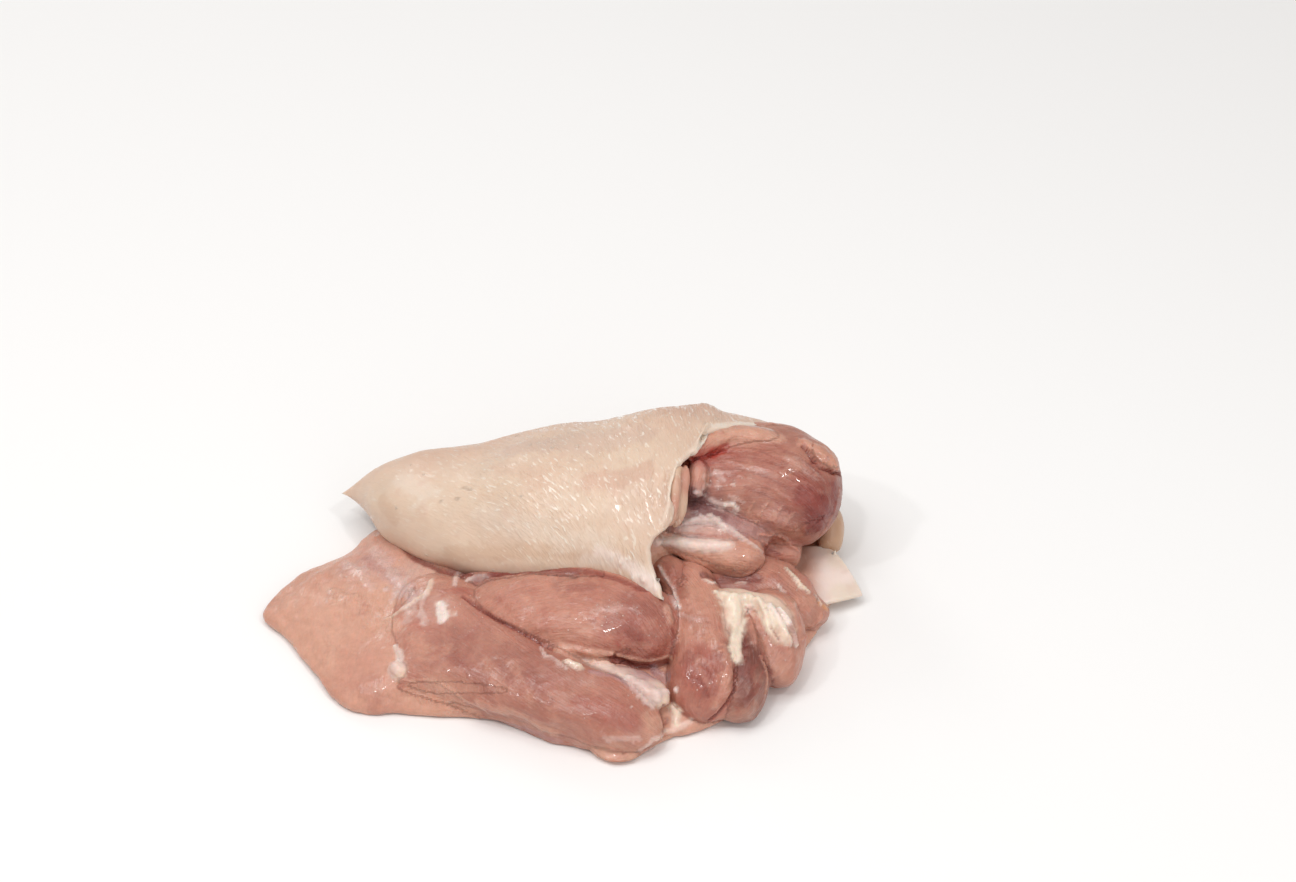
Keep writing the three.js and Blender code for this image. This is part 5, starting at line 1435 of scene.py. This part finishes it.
class FILLET_OT_underside(bpy.types.Operator):
    """Spread the skin that the fillet lies on, with the bulge that shows below the dark muscle"""

    bl_idname = "fillet.underside"
    bl_label = "Skin Underneath"

    def execute(self, context):
        settings = context.scene.fillet_finish
        under = new_object("skin_underneath", *pad(UNDERSIDE_OUTLINE, UNDERSIDE_CENTRE, UNDERSIDE_HEIGHT,
                                                   UNDERSIDE_HEIGHT))
        points = read_points(under.data)
        tint = skin_tint(points + (0, 30, 14))
        tint = tint + (shade("blush") - tint) * (0.85 * smooth((-30 - points[:, 1]) / 6))[:, None]
        finish_skin(under, tint, np.full(len(points), 0.1), settings)
        bulge, points, normals = rounded_together("skin_bulge", [Sweep(SKIN_BULGE).solid()], 0.6)
        points = points + normals * soft_hills(points, (5, 0.5, 53), (2.4, 0.2, 54))[:, None]
        points[:, 2] = np.maximum(points[:, 2], 0.2)
        write_points(bulge.data, points)
        tint = skin_tint(points)
        # Tan: partly the skin's colour, partly painted shade below the dark muscle.
        tint = tint + (shade("tan") - tint) * 0.85
        finish_skin(bulge, tint, np.full(len(points), 0.1), settings)
        return {"FINISHED"}


class FILLET_OT_flap(bpy.types.Operator):
    """Lay out the corner of skin at the right, with its white side up"""

    bl_idname = "fillet.flap"
    bl_label = "Skin Flap"

    CELLS, THICKNESS, ROUNDNESS = 80, 1.3, 0.7

    def execute(self, context):
        net = np.array(FLAP_NET, dtype=float)
        u = even_steps(self.CELLS, 5, 0.4)
        weights = np.column_stack([(1 - u) ** 3, 3 * u * (1 - u) ** 2, 3 * u**2 * (1 - u), u**3])
        grid, normals = facing_up(np.einsum("ai,bj,ijk->abk", weights, weights, net))
        waves = soft_hills(grid.reshape(-1, 3), (6, 0.4, 61), (2.6, 0.12, 62))
        grid = grid + normals * waves.reshape(grid.shape[:2])[..., None]
        thickness = np.full(grid.shape[:2], self.THICKNESS)
        flap = new_object("skin_flap", *sheet_solid(grid, thickness, self.ROUNDNESS))
        points = read_points(flap.data)
        tint = np.broadcast_to(shade("white"), points.shape)
        tint = tint + (shade("skin fat") - tint) * smooth(0.5 + soft_noise(points, 5, 63))[:, None]
        # Painted shadow: blush where the flap runs in under the dark muscle.
        tint = tint + (shade("blush") - tint) * (0.8 * smooth((62.5 - points[:, 0]) / 5))[:, None]
        finish_skin(flap, tint, np.full(len(points), 0.95), context.scene.fillet_finish)
        return {"FINISHED"}


# ---- What is scattered over the surface ---------------------------------------------------------------
# Most beads to a square metre that are tried, and the smallest and largest bead as shares of the radius.
DENSEST, SMALLEST, LARGEST = 300000.0, 0.35, 1.0


def scatter_tree(name, material):
    """Geometry Nodes that set small flattened beads on a surface, standing on its normals."""
    tree = bpy.data.node_groups.new(name, "GeometryNodeTree")
    sockets = tree.interface
    sockets.new_socket("Surface", in_out="INPUT", socket_type="NodeSocketGeometry")
    for title, kind in (("Spacing", "NodeSocketFloat"), ("Bead Radius", "NodeSocketFloat"),
                        ("Flatness", "NodeSocketFloat"), ("Seed", "NodeSocketInt")):
        sockets.new_socket(title, in_out="INPUT", socket_type=kind)
    sockets.new_socket("Beads", in_out="OUTPUT", socket_type="NodeSocketGeometry")
    nodes, links = tree.nodes, tree.links

    def add(kind, settings=None, inputs=None):
        node = nodes.new(kind)
        for key, value in (settings or {}).items():
            setattr(node, key, value)
        for key, value in (inputs or {}).items():
            if isinstance(value, bpy.types.NodeSocket):
                links.new(value, node.inputs[key])
            else:
                node.inputs[key].default_value = value
        return node

    given = add("NodeGroupInput").outputs
    chosen = add("GeometryNodeInputNamedAttribute", {"data_type": "FLOAT"}, {"Name": "bead_share"})
    spots = add("GeometryNodeDistributePointsOnFaces", {"distribute_method": "POISSON"},
                {"Mesh": given["Surface"], "Distance Min": given["Spacing"], "Density Max": DENSEST,
                 "Density Factor": chosen.outputs[0], "Seed": given["Seed"]})
    size = add("FunctionNodeRandomValue", {"data_type": "FLOAT"}, {"Seed": given["Seed"]})
    size.inputs[2].default_value, size.inputs[3].default_value = SMALLEST, LARGEST
    radius = add("ShaderNodeMath", {"operation": "MULTIPLY"}, {0: size.outputs[1], 1: given["Bead Radius"]})
    height = add("ShaderNodeMath", {"operation": "MULTIPLY"}, {0: radius.outputs[0], 1: given["Flatness"]})
    scale = add("ShaderNodeCombineXYZ", None,
                {0: radius.outputs[0], 1: radius.outputs[0], 2: height.outputs[0]})
    bead = add("GeometryNodeMeshIcoSphere", None, {"Radius": 1.0, "Subdivisions": 2})
    placed = add("GeometryNodeInstanceOnPoints", None,
                 {"Points": spots.outputs["Points"], "Instance": bead.outputs[0],
                  "Rotation": spots.outputs["Rotation"], "Scale": scale.outputs[0]})
    real = add("GeometryNodeRealizeInstances", None, {0: placed.outputs[0]})
    even = add("GeometryNodeSetShadeSmooth", None, {"Geometry": real.outputs[0]})
    done = add("GeometryNodeSetMaterial", None, {"Geometry": even.outputs[0], "Material": material})
    links.new(done.outputs[0], add("NodeGroupOutput").inputs[0])
    return tree


def scattered(name, surface, share, material, spacing, radius, flatness, seed):
    """Beads over a surface as a piece of their own; share is how likely each point is to get one."""
    base = bpy.data.objects.new(name, surface.data.copy())
    bpy.context.collection.objects.link(base)
    base.data.materials.clear()
    store(base.data, "bead_share", "FLOAT", share)
    tree = scatter_tree(name, material)
    modifier = base.modifiers.new("Scatter", "NODES")
    modifier.node_group = tree
    wanted = {"Spacing": spacing, "Bead Radius": radius, "Flatness": flatness, "Seed": seed}
    for item in tree.interface.items_tree:
        if item.in_out == "INPUT" and item.name in wanted:
            modifier[item.identifier] = wanted[item.name]
    return as_plain_mesh(base)


class FILLET_OT_pores(bpy.types.Operator):
    """Raise the mounds of the feather pores on the skin"""

    bl_idname = "fillet.pores"
    bl_label = "Feather Pores"

    def execute(self, context):
        sizes = context.scene.fillet_scatter
        skin = bpy.data.objects["skin_over_fold"]
        points = read_points(skin.data)
        outside = np.arange(len(points)) < len(points) // 2
        share = outside * smooth((points[:, 2] - 8) / 8) * (0.12 + 0.5 * smooth(soft_noise(points, 16, 71)))
        mounds = scattered("feather_pores", skin, share, skin.data.materials[0], sizes.pore_spacing,
                           sizes.pore_size, 0.2, sizes.seed)
        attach(mounds, "root")
        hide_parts("skin")
        return {"FINISHED"}


class FILLET_OT_moisture(bpy.types.Operator):
    """Sprinkle small drops of moisture over the flesh"""

    bl_idname = "fillet.moisture"
    bl_label = "Moisture"

    def execute(self, context):
        sizes = context.scene.fillet_scatter
        material = moisture_finish()
        for name, piece in (("open_moisture", "open_flesh"), ("folded_moisture", "folded_flesh")):
            flesh = bpy.data.objects[piece]
            points, normals = read_points(flesh.data), read_normals(flesh.data)
            upward = smooth((normals[:, 2] - 0.05) / 0.5) * smooth((points[:, 2] - 6) / 4)
            share = smooth((soft_noise(points, 9, 81) - 0.15) / 0.4) * 0.3
            for x, y, z, reach in WET_SPOTS:
                share = np.maximum(share, smooth(1.5 - np.linalg.norm(points - (x, y, z), axis=1) / reach))
            drops = scattered(name, flesh, upward * share, material, sizes.drop_spacing, sizes.drop_size, 0.5,
                              sizes.seed + 1)
            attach(drops, "root")
        return {"FINISHED"}


# ---- The stage ----------------------------------------------------------------------------------------
class FILLET_OT_stage(bpy.types.Operator):
    """Set out the table, the soft lights and the camera"""

    bl_idname = "fillet.stage"
    bl_label = "Stage"

    # The camera looks along +Y and down: its target and eye in millimetres, and its lens.
    TARGET, EYE, LENS = (20.2, 65.0, 0.0), (20.2, -603.83, 602.22), 100.0

    HALF_TABLE, TABLE_TOP = 2500, -0.05

    def execute(self, context):
        settings = context.scene.fillet_stage
        corners = [(x * self.HALF_TABLE, y * self.HALF_TABLE, self.TABLE_TOP)
                   for x, y in ((-1, -1), (1, -1), (1, 1), (-1, 1))]
        table = new_object("table", corners, [(0, 1, 2, 3)])
        table.data.materials.append(floor_finish(settings.floor))
        middle = Vector((0.0, 0.0, 0.01))
        self.softbox("overhead_softbox", (-0.14, -0.06, 0.84), middle, (0.36, 0.75), settings.key)
        for side in (-0.5, -0.15, 0.32):
            self.softbox("sparkle_light", (side, -0.30, 0.78), middle, (0.05, 0.05), settings.sparkle)
        self.softbox("front_softbox", (0.40, -0.62, 0.50), middle, (0.7, 0.7), settings.fill)
        self.softbox("back_softbox", (-0.45, 0.66, 0.45), middle, (0.3, 0.3), settings.fill * 0.6)
        world = bpy.data.worlds.new("white_room")
        world.use_nodes = True
        background = world.node_tree.nodes["Background"]
        background.inputs["Color"].default_value = (1.0, 0.985, 0.97, 1)
        background.inputs["Strength"].default_value = settings.sky
        context.scene.world = world
        lens = bpy.data.cameras.new("camera")
        lens.lens, lens.sensor_width = self.LENS, 36.0
        camera = bpy.data.objects.new("camera", lens)
        context.collection.objects.link(camera)
        camera.location = Vector(self.EYE) * MM
        camera.rotation_euler = (Vector(self.TARGET) - Vector(self.EYE)).to_track_quat("-Z", "Y").to_euler()
        context.scene.camera = camera
        context.scene.view_settings.view_transform = "Standard"
        return {"FINISHED"}

    def softbox(self, name, place, aim, size, power):
        lamp = bpy.data.lights.new(name, "AREA")
        lamp.shape, (lamp.size, lamp.size_y), lamp.energy = "RECTANGLE", size, power
        light = bpy.data.objects.new(name, lamp)
        bpy.context.collection.objects.link(light)
        light.location = place
        light.rotation_euler = (aim - light.location).to_track_quat("-Z", "Y").to_euler()


STEPS = (FILLET_OT_open_flesh, FILLET_OT_folded_flesh, FILLET_OT_skin, FILLET_OT_lip, FILLET_OT_underside,
         FILLET_OT_flap, FILLET_OT_pores, FILLET_OT_moisture, FILLET_OT_stage)


class FILLET_PT_panel(bpy.types.Panel):
    """Lists the settings of the fillet and the steps that make it"""

    bl_idname = "FILLET_PT_panel"
    bl_label = "Chicken Thigh Fillet"
    bl_space_type = "VIEW_3D"
    bl_region_type = "UI"
    bl_category = "Fillet"

    def draw(self, context):
        for group, kind in SETTINGS.items():
            box = self.layout.box()
            for field in kind.__annotations__:
                box.prop(getattr(context.scene, group), field)
        for step in STEPS:
            self.layout.operator(step.bl_idname)


CLASSES = (*SETTINGS.values(), *STEPS, FILLET_PT_panel)


def register():
    for kind in CLASSES:
        bpy.utils.register_class(kind)
    for group, kind in SETTINGS.items():
        setattr(bpy.types.Scene, group, PointerProperty(type=kind))


def unregister():
    for group in SETTINGS:
        delattr(bpy.types.Scene, group)
    for kind in reversed(CLASSES):
        bpy.utils.unregister_class(kind)


def main():
    register()
    for step in STEPS:
        family, name = step.bl_idname.split(".")
        getattr(getattr(bpy.ops, family), name)()


if __name__ == "__main__":
    main()
